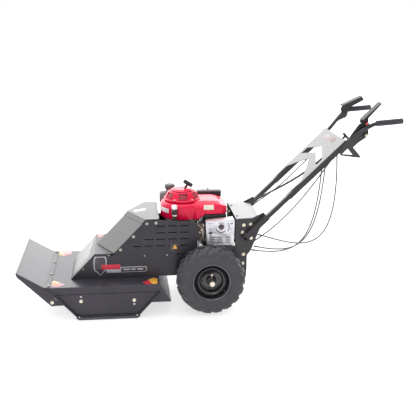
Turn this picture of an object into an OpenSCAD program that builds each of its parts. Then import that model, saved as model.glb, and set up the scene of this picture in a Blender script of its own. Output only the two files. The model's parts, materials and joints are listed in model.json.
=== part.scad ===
// Walk-behind brush cutter.
// Origin: on the ground below the middle of the wheel axle.
// +X runs back towards the operator, +Y to the right-hand side, +Z up. Millimetres.

/* [Wheels] */
// Radius of the tyre over its lugs
tyre_r = 203.2; // [200:0.1:206]
// Width of the tyre
tyre_w = 155; // [150:1:158]
// Distance from the machine's middle to the middle of a tyre
wheel_y = 284.5; // [283:0.5:290]
// Number of lugs along each side of a tread
lug_count = 18; // [12:1:24]
// Radius of the wheel axle
axle_r = 12.7; // [12:0.1:13]

/* [Deck] */
// Half of the deck's width
deck_half = 320; // [316:1:324]
// Height of the deck's top surface
deck_top = 195; // [193:1:196]
// Thickness of the deck's steel
deck_t = 5; // [4:0.5:5]
// Front edge of the deck's top
deck_front = -957; // [-960:1:-950]
// Rear edge of the deck's top
deck_rear = -300; // [-302:1:-298]

/* [Blade] */
// Position of the blade spindle along the machine
spindle_x = -612; // [-616:1:-608]
// Length of the blade from tip to tip
blade_len = 610; // [580:1:616]
// Height of the blade's lower face
blade_z = 98; // [96:1:98]

/* [Body panels] */
// Outer face of the body panels, from the middle
panel_y = 194; // [194:0.5:196]
// Thickness of the body panels
panel_t = 4; // [3:0.5:4]
// Height of the joint between belt guard and upper shield
seam_z = 337; // [335:1:339]
// Height of the upper shield's flat top
shield_z = 547; // [545:1:549]
// Number of slots in each row of the side panel, from the lowest row up
slot_rows = [5, 4, 3, 3]; // [1:1:5]

/* [Frame] */
// Inner face of the frame plates, from the middle
frame_in = 181; // [180:0.5:181]
// Thickness of the frame plates
frame_t = 5; // [4:0.5:5]

/* [Engine] */
// Position of the engine's crankshaft along the machine
crank_x = -145; // [-147:1:-143]
// Height of the plate that the engine stands on
mount_z = 304; // [303:0.5:304]
// Pull on the starter rope is along this angle from upright
pull_angle = 32; // [30:1:33]

/* [Handle] */
// Slope of the handle rails above level
rail_angle = 44; // [43.5:0.1:44.5]
// Distance of each rail from the middle
rail_y = 203; // [203:0.5:204]
// Width of the square tube of the upper rail
rail_w = 31; // [31:0.5:33]
// Half of the distance between the grips
grip_y = 284; // [280:1:288]
// Radius of the grips
grip_r = 16.5; // [15:0.5:17]

/* [Hidden] */
$fn = 48;

black_steel = [0.10, 0.10, 0.11];
zinc = [0.80, 0.78, 0.70];
engine_red = [0.80, 0.05, 0.08];
rubber_grey = [0.16, 0.16, 0.18];
cast_grey = [0.60, 0.61, 0.62];
plastic_black = [0.07, 0.07, 0.08];

run_gap = 0.05;      // radial clearance of a running shaft
axle_z = tyre_r;     // the wheel stands on the ground

// ---------- general shapes ----------

// Puts a second, mirrored copy on the machine's other side
module both_sides() {
    children();
    mirror([0, 1, 0]) children();
}

// A sheet in the X-Z plane between y_low and y_low + t
module side_sheet(points, y_low, t) {
    translate([0, y_low + t, 0]) rotate([90, 0, 0]) linear_extrude(t) polygon(points);
}

// A round bar along Y that starts at y_low
module cross_bar(x, z, y_low, length, r) {
    translate([x, y_low + length, z]) rotate([90, 0, 0]) cylinder(h = length, r = r);
}

// A hexagon head across flats w, along Y
module cross_hex(x, z, y_low, length, w) {
    translate([x, y_low + length, z])
        rotate([90, 0, 0]) cylinder(h = length, r = w / 2 / cos(30), $fn = 6);
}

// A round bar from point a to point b
module bar_between(a, b, r) {
    d = b - a;
    flat = norm([d[0], d[1]]);
    translate(a) rotate([0, atan2(flat, d[2]), atan2(d[1], d[0])]) cylinder(h = norm(d), r = r);
}

// A round bar through a list of points, with a slightly fuller ball at each bend
module bent_bar(path, r, ball) {
    for (i = [0 : len(path) - 2]) bar_between(path[i], path[i + 1], r);
    for (i = [1 : len(path) - 2]) translate(path[i]) sphere(r = r + ball);
}

// Points along a cubic curve from p[0] to p[3]
function curve(p, n) = [for (i = [0 : n])
    let (t = i / n, u = 1 - t)
    u * u * u * p[0] + 3 * u * u * t * p[1] + 3 * u * t * t * p[2] + t * t * t * p[3]];

// A disc-like pulley about Z with a V groove in its rim
module v_pulley(z_mid, r, width, bore) {
    groove = 10;
    difference() {
        translate([0, 0, z_mid - width / 2]) cylinder(h = width, r = r);
        translate([0, 0, z_mid - width / 2 - 1]) cylinder(h = width + 2, r = bore);
        translate([0, 0, z_mid]) rotate_extrude()
            polygon([[r - groove, -4], [r + 1, -8], [r + 1, 8], [r - groove, 4]]);
    }
}

// A flat belt loop around two pulleys with centres at x = a and x = b
module belt_loop(a, ra, b, rb, z_mid) {
    belt_t = 8;
    belt_w = 7;
    translate([0, 0, z_mid - belt_w / 2]) linear_extrude(belt_w) difference() {
        hull() {
            translate([a, 0]) circle(r = ra + belt_t);
            translate([b, 0]) circle(r = rb + belt_t);
        }
        hull() {
            translate([a, 0]) circle(r = ra);
            translate([b, 0]) circle(r = rb);
        }
    }
}

// ---------- deck, deflector and skids ----------

skid_bolts = [[-753, 110], [-449, 105]];   // x and z of the skid bolts
skid_spare = [[-753, 135], [-449, 80]];    // x and z of the spare height holes
deck_low = 85;                             // lower edge of the deck's sides
deflector_bolt = [-916, 108];

module deck_side() {
    difference() {
        side_sheet([[deck_front, deck_top], [deck_rear, deck_top], [-234, deck_low],
                    [-918, deck_low]], deck_half - deck_t, deck_t);
        for (p = concat(skid_bolts, skid_spare, [deflector_bolt]))
            cross_bar(p[0], p[1], deck_half - deck_t - 1, deck_t + 2, 6.3);
    }
}

module deck_shell() {
    inner = deck_half - deck_t;
    color(black_steel) {
        both_sides() deck_side();
        difference() {
            translate([deck_front, -inner, deck_top - deck_t])
                cube([deck_rear - deck_front, 2 * inner, deck_t]);
            translate([spindle_x, 0, deck_top - deck_t - 1]) cylinder(h = deck_t + 2, r = 44);
        }
        side_sheet([[deck_rear, deck_top], [-234, deck_low], [-240, deck_low],
                    [deck_rear - 6, deck_top - deck_t]], -inner, 2 * inner);
    }
}

module front_deflector() {
    t = 4;
    color(black_steel) {
        side_sheet([[-922, deck_top], [-922, deck_top + t], [deck_front, deck_top + t],
                    [-1107, 290], [-1112, 288], [-1105, 265], [-1101, 265], [-1107, 284],
                    [deck_front, deck_top]], -deck_half, 2 * deck_half);
        both_sides() difference() {
            side_sheet([[-1107, 287], [-1102, 265], [-921, deck_low], [-903, deck_low],
                        [-903, 150], [deck_front, deck_top + t]], deck_half, t);
            cross_bar(deflector_bolt[0], deflector_bolt[1], deck_half - 1, t + 2, 6.3);
        }
    }
}

skid_top = 149;
lip_w = 20;

module skids() {
    plate_t = 5;
    outer = [[-898, skid_top], [-773, 12], [-426, 12], [-300, skid_top]];
    inner = [[-891.2, skid_top + 1], [-770.8, 17], [-428.2, 17], [-306.8, skid_top + 1]];
    color(black_steel) both_sides() {
        difference() {
            side_sheet(outer, deck_half, plate_t);
            for (p = concat(skid_bolts, skid_spare))
                cross_bar(p[0], p[1], deck_half - 1, plate_t + 2, 6.3);
        }
        difference() {
            side_sheet(outer, deck_half + plate_t, lip_w);
            side_sheet(inner, deck_half + plate_t, lip_w + 1);
        }
    }
}

module wear_bars() {
    color([0.25, 0.25, 0.27]) both_sides()
        side_sheet([[-782, 12], [-766, 0], [-433, 0], [-417, 12]], deck_half, 25);
}

// ---------- blade spindle ----------

bearing_r = 31;
shaft_r = 15;
bearing_z = [150, 216];
bearing_h = 16;

module spindle_housing() {
    color(cast_grey) translate([spindle_x, 0, 0]) difference() {
        union() {
            translate([0, 0, 147]) cylinder(h = 87, r = 42);
            translate([0, 0, deck_top]) cylinder(h = 10, r = 80);
        }
        translate([0, 0, 146]) cylinder(h = 90, r = 24);
        for (z = bearing_z)
            translate([0, 0, z == bearing_z[0] ? 146 : z])
                cylinder(h = bearing_h + 4, r = bearing_r + 0.02);
    }
}

module spindle_bearings() {
    color("silver") for (z = bearing_z) translate([spindle_x, 0, z]) difference() {
        cylinder(h = bearing_h, r = bearing_r);
        translate([0, 0, -1]) cylinder(h = bearing_h + 2, r = shaft_r + run_gap);
    }
}

module spindle_shaft() {
    seat_z = blade_z + 8;
    color("silver") translate([spindle_x, 0, 0]) difference() {
        union() {
            translate([0, 0, seat_z]) cylinder(h = 257 - seat_z, r = shaft_r);
            translate([0, 0, seat_z]) cylinder(h = 8, r = 38);
            translate([0, 0, 257]) cylinder(h = 13, r = 9);
        }
        translate([0, 0, seat_z - 1]) cylinder(h = 40, r = 8.1);
    }
}

spindle_belt_z = 246;
drive_belt_z = 272;

module spindle_pulley() {
    color([0.35, 0.36, 0.38]) translate([spindle_x, 0, 0])
        v_pulley(spindle_belt_z, 75, 20, shaft_r + run_gap);
}

module blade() {
    bar_w = 76;
    color([0.45, 0.46, 0.48]) translate([spindle_x, 0, blade_z]) difference() {
        union() {
            intersection() {
                translate([-blade_len / 2, -bar_w / 2, 0]) cube([blade_len, bar_w, 8]);
                cylinder(h = 8, r = blade_len / 2);
            }
            for (a = [0, 180]) rotate([0, 0, a])
                translate([blade_len / 2 - 95, -bar_w / 2, 7.9]) cube([80, 5, 14]);
        }
        translate([0, 0, -1]) cylinder(h = 10, r = 8.1);
        for (a = [0, 180]) rotate([0, 0, a])
            translate([blade_len / 2 - 110, bar_w / 2, 8]) rotate([45, 0, 0])
                cube([150, 10, 10], center = true);
    }
}

module blade_bolt() {
    color(zinc) translate([spindle_x, 0, 0]) {
        translate([0, 0, blade_z - 4]) cylinder(h = 4, r = 28);
        translate([0, 0, blade_z - 16]) cylinder(h = 12, r = 14, $fn = 6);
        translate([0, 0, blade_z - 1]) cylinder(h = 40, r = 8);
        difference() {
            translate([0, 0, 257]) cylinder(h = 9, r = 15, $fn = 6);
            translate([0, 0, 256]) cylinder(h = 12, r = 9.05);
        }
    }
}

// ---------- belt guard and upper shield ----------

panel_in = panel_y - panel_t;
guard_top = 347;
guard_nose = -815;                  // foot of the sloping nose
guard_knee = -673;                  // where the slope meets the flat top
prow_lean = 0.965;                  // run of the prow for each unit of rise
prow_sweep = 0.531;                 // run of the prow for each unit of width
prow_foot = -664;                   // x of the prow's edge at its lower end
prow_foot_z = 349;
shield_rear = -293;                 // rear edge of the flat top
guard_screws = [[-742, 255], [-592, 337]];
shield_screws = [[-365, 524], [-312, 527], [-444, 447], [-522, 369]];
seam_screws = [[-382, 328], [-250, 328]];
panel_screw_r = 4;

module belt_guard() {
    color(black_steel) {
        both_sides() difference() {
            side_sheet([[guard_nose, deck_top], [guard_knee, guard_top],
                        [-580, guard_top], [-580, seam_z - 1], [-193, seam_z - 1], [-193, 198],
                        [deck_rear, 198], [deck_rear, deck_top]], panel_in, panel_t);
            for (p = concat(guard_screws, seam_screws))
                cross_bar(p[0], p[1], panel_in - 1, panel_t + 2, panel_screw_r);
        }
        side_sheet([[guard_nose, deck_top], [guard_knee, guard_top], [-540, guard_top],
                    [-540, guard_top - 3], [guard_knee + 2, guard_top - 3],
                    [guard_nose + 5, deck_top]], -panel_in, 2 * panel_in);
    }
}

// A row of slots that ends at the rear edge x_end
module slot_row(count, z, x_end) {
    slot_len = 52;
    pitch = 69;
    for (i = [0 : count - 1])
        translate([x_end - i * pitch - slot_len, panel_in - 1, z - 3]) cube([slot_len, panel_t + 2, 6]);
}

// Side panel with the lowest rows of slots
module side_panel(rows) {
    lean_x = prow_foot + prow_sweep * panel_y + 5.5;
    difference() {
        side_sheet([[lean_x + prow_lean * (seam_z - prow_foot_z), seam_z],
                    [lean_x + prow_lean * (shield_z - 1 - prow_foot_z), shield_z - 1],
                    [-97, 531], [-70, 505], [-70, seam_z]], panel_in, panel_t);
        for (i = [0 : rows - 1]) slot_row(slot_rows[i], 386 + 40 * i, -121);
        for (p = shield_screws)
            cross_bar(p[0], p[1], panel_in - 1, panel_t + 2, panel_screw_r);
    }
}

// The right panel is cut low behind the flat top, for access to the fuel tank
module shield_sides() {
    color(black_steel) {
        mirror([0, 1, 0]) side_panel(4);
        difference() {
            side_panel(2);
            translate([-288, panel_in - 1, 475]) cube([240, panel_t + 2, 90]);
        }
    }
}

// The half space below the prow's left face, t thick; its edge line passes at foot_x
module prow_slab(foot_x, t) {
    lean = atan2(sqrt(1 + prow_sweep * prow_sweep), prow_lean);
    turn = atan2(-prow_sweep, -1);
    reach = 900;
    translate([foot_x, 0, prow_foot_z]) rotate([0, lean, turn])
        translate([-reach, -reach, -t]) cube([2 * reach, 2 * reach, t]);
}

module prow_face(foot_x, t, z_low, z_high) {
    intersection() {
        prow_slab(foot_x, t);
        translate([-700, -panel_y, z_low]) cube([400, panel_y, z_high - z_low]);
    }
}

module shield_prow() {
    color(black_steel) both_sides() prow_face(prow_foot, 3, prow_foot_z, shield_z);
}

module shield_top() {
    t = 3;
    front = prow_foot + prow_lean * (shield_z - prow_foot_z);
    strip_foot = prow_foot - 5;
    color(black_steel) {
        translate([0, 0, shield_z]) linear_extrude(t) polygon([
            [front - 4, 0], [front + prow_sweep * panel_y - 4, -panel_y], [shield_rear, -panel_y],
            [shield_rear, panel_y], [front + prow_sweep * panel_y - 4, panel_y]]);
        translate([shield_rear - 3, -panel_y, shield_z]) cube([3, 2 * panel_y, 9]);
        both_sides() prow_face(strip_foot, 3, shield_z - 22, shield_z + t);
    }
}

// ---------- frame ----------

frame_out = frame_in + frame_t;
rail_foot = [203, 0, 414];              // lower end of the rail's centre line
plate_bolts = [[207, 497], [248, 501], [200, 452], [252, 416], [207, 315], [203, 258]];
socket_len = 196;

// Moves a shape drawn along +X onto the slope of the handle rails
module on_rail(s = 0, n = 0) {
    translate(rail_foot) rotate([0, -rail_angle, 0]) translate([s, 0, n]) children();
}

module frame_plates() {
    socket_h = 33;
    color(black_steel) both_sides() difference() {
        union() {
            side_sheet([[-560, deck_top], [-560, 300], [-520, 325], [120, 325], [157, 360],
                        [157, 533], [257, 539], [322, 571], [338, 556], [293, 445], [253, 339],
                        [229, 309], [229, 226], [224, 162], [209, 182], [190, 150], [60, 130],
                        [-60, 130], [-130, 198], [deck_rear, 198], [deck_rear, deck_top]],
                       frame_in, frame_t);
            on_rail() translate([0, frame_in + 2, -socket_h / 2])
                cube([socket_len, 34, socket_h]);
        }
        on_rail() translate([5, frame_out + 3, -socket_h / 2 + 3])
            cube([socket_len, 40, socket_h - 6]);
        cross_bar(0, axle_z, frame_in - 1, frame_t + 2, axle_r + 1.5);
        for (p = plate_bolts) cross_bar(p[0], p[1], frame_in - 1, frame_t + 2, 6.2);
    }
}

blade_idler_pivot = [-300, -150];
drive_idler_pivot = [-130, -140];
idler_pin_r = 6;

module engine_plate() {
    plate_t = 8;
    low = mount_z - plate_t;
    color(black_steel) {
        difference() {
            translate([-335, -frame_in, low]) cube([325, 2 * frame_in, plate_t]);
            translate([crank_x, 0, low - 1]) cylinder(h = plate_t + 2, r = 35);
        }
        translate([blade_idler_pivot[0], blade_idler_pivot[1], 254])
            cylinder(h = low - 254 + 1, r = idler_pin_r);
        translate([drive_idler_pivot[0], drive_idler_pivot[1], 276])
            cylinder(h = low - 276 + 1, r = idler_pin_r);
    }
}

module rear_cover() {
    t = 4;
    color(black_steel) difference() {
        side_sheet([[161, 380], [161, 535], [300, 541], [300, 537], [165, 531], [165, 380]],
                   -frame_in, 2 * frame_in);
        for (side = [-1, 1])
            translate([175, side * 120, 525]) cylinder(h = 20, r = 4);
    }
}

// Hex bolt along Y from the outer face y_face, with its shank pointing inwards
module side_bolt(p, y_face, shank, head_w = 19) {
    cross_hex(p[0], p[1], y_face, 7, head_w);
    cross_bar(p[0], p[1], y_face - shank, shank + 1, 6);
    cross_hex(p[0], p[1], y_face - shank, 7, head_w);
}

module frame_bolts() {
    color(zinc) both_sides() {
        for (p = plate_bolts) side_bolt(p, frame_out, frame_t + 8);
        for (p = skid_bolts) side_bolt(p, deck_half + 5, 18);
        side_bolt(deflector_bolt, deck_half + 4, 17);
    }
}

module body_screws() {
    head_t = 3;
    color(zinc) both_sides() {
        for (p = concat(shield_screws, guard_screws, seam_screws)) {
            head_r = p[1] > seam_z ? 9 : 5;
            cross_bar(p[0], p[1], panel_y, head_t, head_r);
            cross_bar(p[0], p[1], panel_in + 0.2, panel_t + 0.3, panel_screw_r - 0.2);
        }
        for (y = [106, 298]) translate([-935, y, deck_top + 4]) cylinder(h = 5, r = 8);
    }
}

// ---------- drive line and wheels ----------

input_x = 60;

module transaxle_case() {
    tube_r = 22;
    color(cast_grey) difference() {
        union() {
            cross_bar(0, axle_z, -100, 200, 50);
            translate([0, -60, 152]) cube([115, 120, 98]);
            cross_bar(0, axle_z, -frame_in, 2 * frame_in, tube_r);
            both_sides() cross_bar(0, axle_z, frame_in - 6, 6, 40);
        }
        cross_bar(0, axle_z, -frame_in - 1, 2 * frame_in + 2, axle_r + run_gap);
        translate([input_x, 0, 195]) cylinder(h = 60, r = 9 + run_gap);
    }
}

// Upright input shaft of the transaxle, with its pulley
module input_drive() {
    color("silver") translate([input_x, 0, 198]) cylinder(h = 90, r = 9);
    color([0.35, 0.36, 0.38]) translate([input_x, 0, 0])
        v_pulley(drive_belt_z, 60, 20, 9 + run_gap);
}

axle_end = 368;                     // distance of the axle's outer end from the middle
pin_y = 346;                        // the wheel's lock pin

// Axle shaft with its end washer and the pin that locks the wheel to it
module axle() {
    color(zinc) {
        difference() {
            cross_bar(0, axle_z, 3, axle_end - 3, axle_r);
            translate([0, pin_y, axle_z - 40]) cylinder(h = 80, r = 4.1);
        }
        cross_bar(0, axle_z, axle_end, 4, 14.5);
        translate([0, pin_y, axle_z - 25]) cylinder(h = 50, r = 4);
    }
}

module left_axle() { mirror([0, 1, 0]) axle(); }
module right_axle() { axle(); }

// Turns a shape made about Z into one about the wheel's axle, outward side up
module on_wheel() {
    translate([0, wheel_y, axle_z]) rotate([-90, 0, 0]) children();
}

flange_r = 110;
rim_half = 65.5;

module rim() {
    color(black_steel) on_wheel() difference() {
        union() {
            rotate_extrude() polygon([
                [flange_r, rim_half], [flange_r, rim_half - 4], [101.6, rim_half - 4],
                [101.6, 42], [84, 30], [84, -30], [101.6, -42], [101.6, 4 - rim_half],
                [flange_r, 4 - rim_half], [flange_r, -rim_half], [97.6, -rim_half], [97.6, -43],
                [80, -32], [80, 26], [74, 26], [70, 30], [18, 30], [18, 36], [72, 36],
                [80, 32], [97.6, 44], [97.6, rim_half]]);
            translate([0, 0, -70]) cylinder(h = 140, r = 20);
        }
        translate([0, 0, -71]) cylinder(h = 142, r = axle_r + run_gap);
        rotate([90, 0, 0]) translate([0, pin_y - wheel_y, -40]) cylinder(h = 80, r = 4.1);
        rotate([0, 0, 126]) translate([84, 0, 50]) rotate([0, 90, 0]) cylinder(h = 30, r = 6);
    }
}

module left_rim() { mirror([0, 1, 0]) rim(); }
module right_rim() { rim(); }

// Outline of a lug ring: each lug fills 55 percent of its pitch
module lug_outline(count, r_low, r_high) {
    pitch = 360 / count;
    fill = [0, 0.1, 0.2, 0.3, 0.4, 0.5, 0.6, 0.8];
    polygon([for (i = [0 : count - 1], f = fill)
        let (r = f > 0.55 ? r_low : r_high, a = (i + f) * pitch) [r * cos(a), r * sin(a)]]);
}

module tyre() {
    half = tyre_w / 2;
    base_r = tyre_r - 9;
    bead_r = 101.8;
    bead_z = rim_half - 4.2;
    color(rubber_grey) on_wheel() difference() {
        union() {
            rotate_extrude() polygon([
                [bead_r, bead_z], [112, bead_z], [122, 71], [150, half], [170, 74], [181, 62],
                [189, 42], [base_r, 16], [base_r, -16], [189, -42], [181, -62], [170, -74],
                [150, -half], [122, -71], [112, -bead_z], [bead_r, -bead_z]]);
            intersection() {
                rotate_extrude() polygon([
                    [0, 70], [180, 70], [187, 60], [196, 42], [tyre_r, 14], [tyre_r, -14],
                    [196, -42], [187, -60], [180, -70], [0, -70]]);
                for (side = [0, 1]) mirror([0, 0, side]) rotate([0, 0, side * 180 / lug_count])
                    translate([0, 0, 4]) linear_extrude(60) difference() {
                        lug_outline(lug_count, base_r - 16, tyre_r);
                        circle(r = 150);
                    }
            }
        }
        rotate_extrude() polygon([
            [0, half + 1], [bead_r, half + 1], [bead_r, 46], [120, 60], [150, 68], [166, 62],
            [176, 48], [183, 28], [183, -28], [176, -48], [166, -62], [150, -68], [120, -60],
            [bead_r, -46], [bead_r, -half - 1], [0, -half - 1]]);
    }
}

module left_tyre() { mirror([0, 1, 0]) tyre(); }
module right_tyre() { tyre(); }

// ---------- belts and idlers ----------

pulley_r = 52;                      // engine pulley
belt_gap = 0.6;                     // belt runs this far above the groove's floor
idler_r = 28;

module engine_pulley() {
    color([0.35, 0.36, 0.38]) translate([crank_x, 0, 0]) {
        v_pulley(spindle_belt_z, pulley_r, 20, axle_r + run_gap);
        v_pulley(drive_belt_z, pulley_r, 20, axle_r + run_gap);
        difference() {
            translate([0, 0, spindle_belt_z + 9.9]) cylinder(h = 6.2, r = 24);
            translate([0, 0, spindle_belt_z]) cylinder(h = 30, r = axle_r + run_gap);
        }
    }
}

module blade_belt() {
    color(plastic_black) belt_loop(crank_x, pulley_r - 10 + belt_gap, spindle_x,
                                   65 + belt_gap, spindle_belt_z);
}

module drive_belt() {
    color(plastic_black) belt_loop(crank_x, pulley_r - 10 + belt_gap, input_x,
                                   50 + belt_gap, drive_belt_z);
}

// Arm from pivot p to the idler's axis q, with a stud for the idler
module idler_arm(p, q, z, stud_low) {
    d = q - p;
    color(zinc) {
        difference() {
            union() {
                translate([p[0], p[1], z]) cylinder(h = 8, r = 13);
                translate([p[0], p[1], z]) rotate([0, 0, atan2(d[1], d[0])])
                    translate([0, -9, 1]) cube([norm(d), 18, 6]);
                translate([q[0], q[1], z]) cylinder(h = 8, r = 11);
            }
            translate([p[0], p[1], z - 1]) cylinder(h = 10, r = idler_pin_r + run_gap);
        }
        translate([q[0], q[1], stud_low]) cylinder(h = z - stud_low + 1, r = 6);
    }
}

module idler_pulley(q, z_mid) {
    color([0.35, 0.36, 0.38]) translate([q[0], q[1], z_mid]) difference() {
        union() {
            translate([0, 0, -8]) cylinder(h = 16, r = idler_r - 2);
            for (z = [-8, 6]) translate([0, 0, z]) cylinder(h = 2, r = idler_r + 3);
        }
        translate([0, 0, -9]) cylinder(h = 18, r = 6 + run_gap);
    }
}

blade_idler_at = [-388, -113];
drive_idler_at = [-36, -98];

module blade_idler_arm() { idler_arm(blade_idler_pivot, blade_idler_at, 260, 236); }
module blade_idler_pulley() { idler_pulley(blade_idler_at, spindle_belt_z); }
module drive_idler_arm() { idler_arm(drive_idler_pivot, drive_idler_at, 283, 262); }
module drive_idler_pulley() { idler_pulley(drive_idler_at, drive_belt_z); }

// ---------- engine ----------

cyl_z = 430;                        // height of the cylinder's axis
bore_r = 44;
journal_r = 16;
case_r = 105;
filler = [-201, -150];

module crankcase() {
    top = 500;
    color(cast_grey) difference() {
        union() {
            translate([crank_x, 0, mount_z]) cylinder(h = 10, r = 125);
            translate([crank_x, 0, mount_z]) cylinder(h = top - mount_z, r = case_r);
            translate([crank_x, 0, top]) cylinder(h = 14, r = 35);
            translate([crank_x + 60, -62, 368]) cube([47, 124, 124]);
            translate([crank_x, 0, 462]) rotate([90, 0, atan2(filler[1], filler[0] - crank_x) + 90])
                cylinder(h = 160, r = 13);
            translate([filler[0], filler[1], 449]) cylinder(h = 147, r = 10);
        }
        translate([crank_x, 0, 322]) cylinder(h = top - 322 - 10, r = case_r - 11);
        translate([crank_x, 0, mount_z - 1]) cylinder(h = 230, r = journal_r + run_gap);
        translate([crank_x + 40, 0, cyl_z]) rotate([0, 90, 0]) cylinder(h = 80, r = 50);
        translate([filler[0], filler[1], 460]) cylinder(h = 140, r = 6);
    }
}

module cylinder_block() {
    x0 = crank_x + 107;
    difference() {
        union() {
            translate([x0, -62, 368]) cube([8, 124, 124]);
            translate([x0, 0, cyl_z]) rotate([0, 90, 0]) cylinder(h = 108, r = 54);
            for (i = [0 : 7]) translate([x0 + 18 + i * 11, -66, 366]) cube([4, 132, 128]);
            translate([x0 + 108, -72, 362]) cube([30, 144, 136]);
            translate([x0 + 138, -52, 380]) cube([34, 104, 100]);
        }
        translate([x0 - 1, 0, cyl_z]) rotate([0, 90, 0]) cylinder(h = 109, r = bore_r);
    }
}

module cylinder_node() { color(cast_grey) cylinder_block(); }

module piston() {
    color("silver") translate([crank_x + 108, 0, cyl_z]) rotate([0, 90, 0]) difference() {
        cylinder(h = 42, r = bore_r - run_gap);
        translate([0, 0, -1]) cylinder(h = 34, r = 36);
    }
}

module crankshaft() {
    throw = 32;
    color("silver") translate([crank_x, 0, 0]) {
        translate([0, 0, 230]) cylinder(h = 66, r = axle_r);
        translate([0, 0, 296]) cylinder(h = 106, r = journal_r);
        translate([0, 0, 458]) cylinder(h = 62, r = journal_r);
        translate([0, 0, 520]) cylinder(h = 70, r = 12);
        for (z = [402, 444]) translate([0, 0, z]) {
            cylinder(h = 14, r = 40);
            translate([throw, 0, 0]) cylinder(h = 14, r = 24);
        }
        translate([throw, 0, 415]) cylinder(h = 30, r = 15);
    }
}

module flywheel() {
    color(cast_grey) translate([crank_x, 0, 526]) difference() {
        union() {
            cylinder(h = 18, r = 92);
            cylinder(h = 40, r = 26);
            for (i = [0 : 15]) rotate([0, 0, i * 22.5]) translate([62, -2, 17]) cube([28, 4, 34]);
        }
        translate([0, 0, -1]) cylinder(h = 60, r = 12 + run_gap);
    }
}

shroud_r = 131;

// Plan outline of the shroud: a round over the flywheel and a lobe to the rear
module shroud_outline(inset) {
    r = shroud_r - inset;
    corner = 40;
    rear = 119 - inset;
    half = 120 - inset;
    translate([crank_x, 0]) circle(r = r, $fn = 96);
    translate([crank_x, -half]) square([rear - crank_x - corner, 2 * half]);
    translate([rear - corner, corner - half]) square([corner, 2 * (half - corner)]);
    for (side = [-1, 1]) translate([rear - corner, side * (half - corner)]) circle(r = corner);
}

module engine_shroud() {
    wall = 3;
    top = 622;
    color(engine_red) difference() {
        union() {
            translate([0, 0, 548]) linear_extrude(top - 548) shroud_outline(0);
            translate([0, 0, 520]) linear_extrude(30) intersection() {
                shroud_outline(0);
                translate([-300, -150]) square([276, 300]);
            }
        }
        translate([0, 0, 500]) linear_extrude(top - 500 - wall) shroud_outline(wall);
        translate([crank_x, 0, top - 10]) cylinder(h = 20, r = 100);
    }
}

rope_x = 18;                        // rope hole behind the crank's axis

module starter_cover() {
    wall = 3;
    color(engine_red) translate([crank_x, 0, 622]) {
        difference() {
            rotate_extrude() polygon([
                [111, 0], [108, 7], [84, 36], [77, 49], [62, 58], [42, 62], [0, 62],
                [0, 62 - wall], [41, 62 - wall], [60, 55], [74, 47], [81, 35], [104, 6], [105, 0]]);
            for (i = [0 : 7], k = [0 : 3]) rotate([0, 0, 22 + i * 45 + (k - 1.5) * 6])
                translate([86, -2, 9]) cube([24, 4.5, 20]);
            translate([rope_x, 0, 52]) cylinder(h = 20, r = 5);
        }
        translate([0, 0, 14]) cylinder(h = 46, r = 8);
    }
}

module starter_reel() {
    color(plastic_black) translate([crank_x, 0, 640]) difference() {
        cylinder(h = 16, r = 52);
        rotate_extrude() polygon([[44, 5], [53, 4], [53, 12], [44, 11]]);
        translate([0, 0, -1]) cylinder(h = 18, r = 8 + run_gap);
    }
}

module starter_grip() {
    bar_len = 58;
    stem = 30;
    color(plastic_black) translate([crank_x + rope_x + 3, 0, 687.6]) rotate([0, pull_angle, 0]) {
        cylinder(h = stem, r = 6);
        translate([-bar_len / 2, 0, stem]) rotate([0, 90, 0]) cylinder(h = bar_len, r = 11);
    }
}

module fuel_tank() {
    color(plastic_black) difference() {
        union() {
            translate([-274, 134, 550]) cube([184, 60, 78]);
            translate([-209, 165, 627]) cylinder(h = 28, r = 25);
        }
        translate([-270, 138, 554]) cube([176, 52, 70]);
        translate([-209, 165, 620]) cylinder(h = 40, r = 21);
    }
}

module fuel_cap() {
    color([0.3, 0.3, 0.32]) translate([-209, 165, 643]) difference() {
        cylinder(h = 30, r = 34);
        translate([0, 0, -1]) cylinder(h = 14, r = 25.3);
    }
}

// Air box beside the shroud, and the black duct below the shroud's lobe
module air_cleaner() {
    color(plastic_black) {
        translate([-40, 123, 592]) cube([142, 58, 26]);
        translate([-42, 121.5, 618]) cube([146, 61, 18]);
        translate([85, 157, 588]) cylinder(h = 5, r = 14);
        difference() {
            translate([-22, -118, 499]) cube([135, 236, 48]);
            translate([-18, -114, 498]) cube([127, 228, 45]);
        }
    }
}

module carburetor() {
    color(cast_grey) difference() {
        union() {
            translate([60, 136, 540]) cube([50, 42, 48]);
            translate([85, 157, 456]) cylinder(h = 85, r = 13);
            cross_bar(85, 470, 72, 86, 13);
        }
        translate([85, 157, 480]) cylinder(h = 120, r = 9);
    }
}

module muffler() {
    color("dimgray") {
        translate([-8, -188, 394]) cube([146, 54, 132]);
        cross_bar(85, 450, -135, 63, 14);
    }
}

module muffler_shield() {
    t = 2.5;
    low = 380;
    wide = 170;
    tall = 160;
    color("silver") difference() {
        translate([-20, -196, low]) cube([wide, 56, tall]);
        translate([-20 + t, -196 + t, low + t]) cube([wide - 2 * t, 60, tall - 2 * t]);
        for (g = [0 : 2], k = [0 : 2])
            translate([-8 + g * 52, -197, low + 16 + k * 10]) cube([34, 5, 4]);
        cross_bar(8, 462, -198, 6, 7);
    }
}

module dipstick() {
    color(plastic_black) translate([filler[0], filler[1], 596]) {
        cylinder(h = 24, r = 17.5);
        translate([0, 0, -120]) cylinder(h = 121, r = 2.5);
    }
}

// ---------- handle and controls ----------

inner_tube_end = 430;
outer_tube_start = 364;
outer_tube_end = 829;

module square_tube(length, w, wall) {
    difference() {
        translate([0, -w / 2, -w / 2]) cube([length, w, w]);
        translate([-1, wall - w / 2, wall - w / 2]) cube([length + 2, w - 2 * wall, w - 2 * wall]);
    }
}

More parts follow.
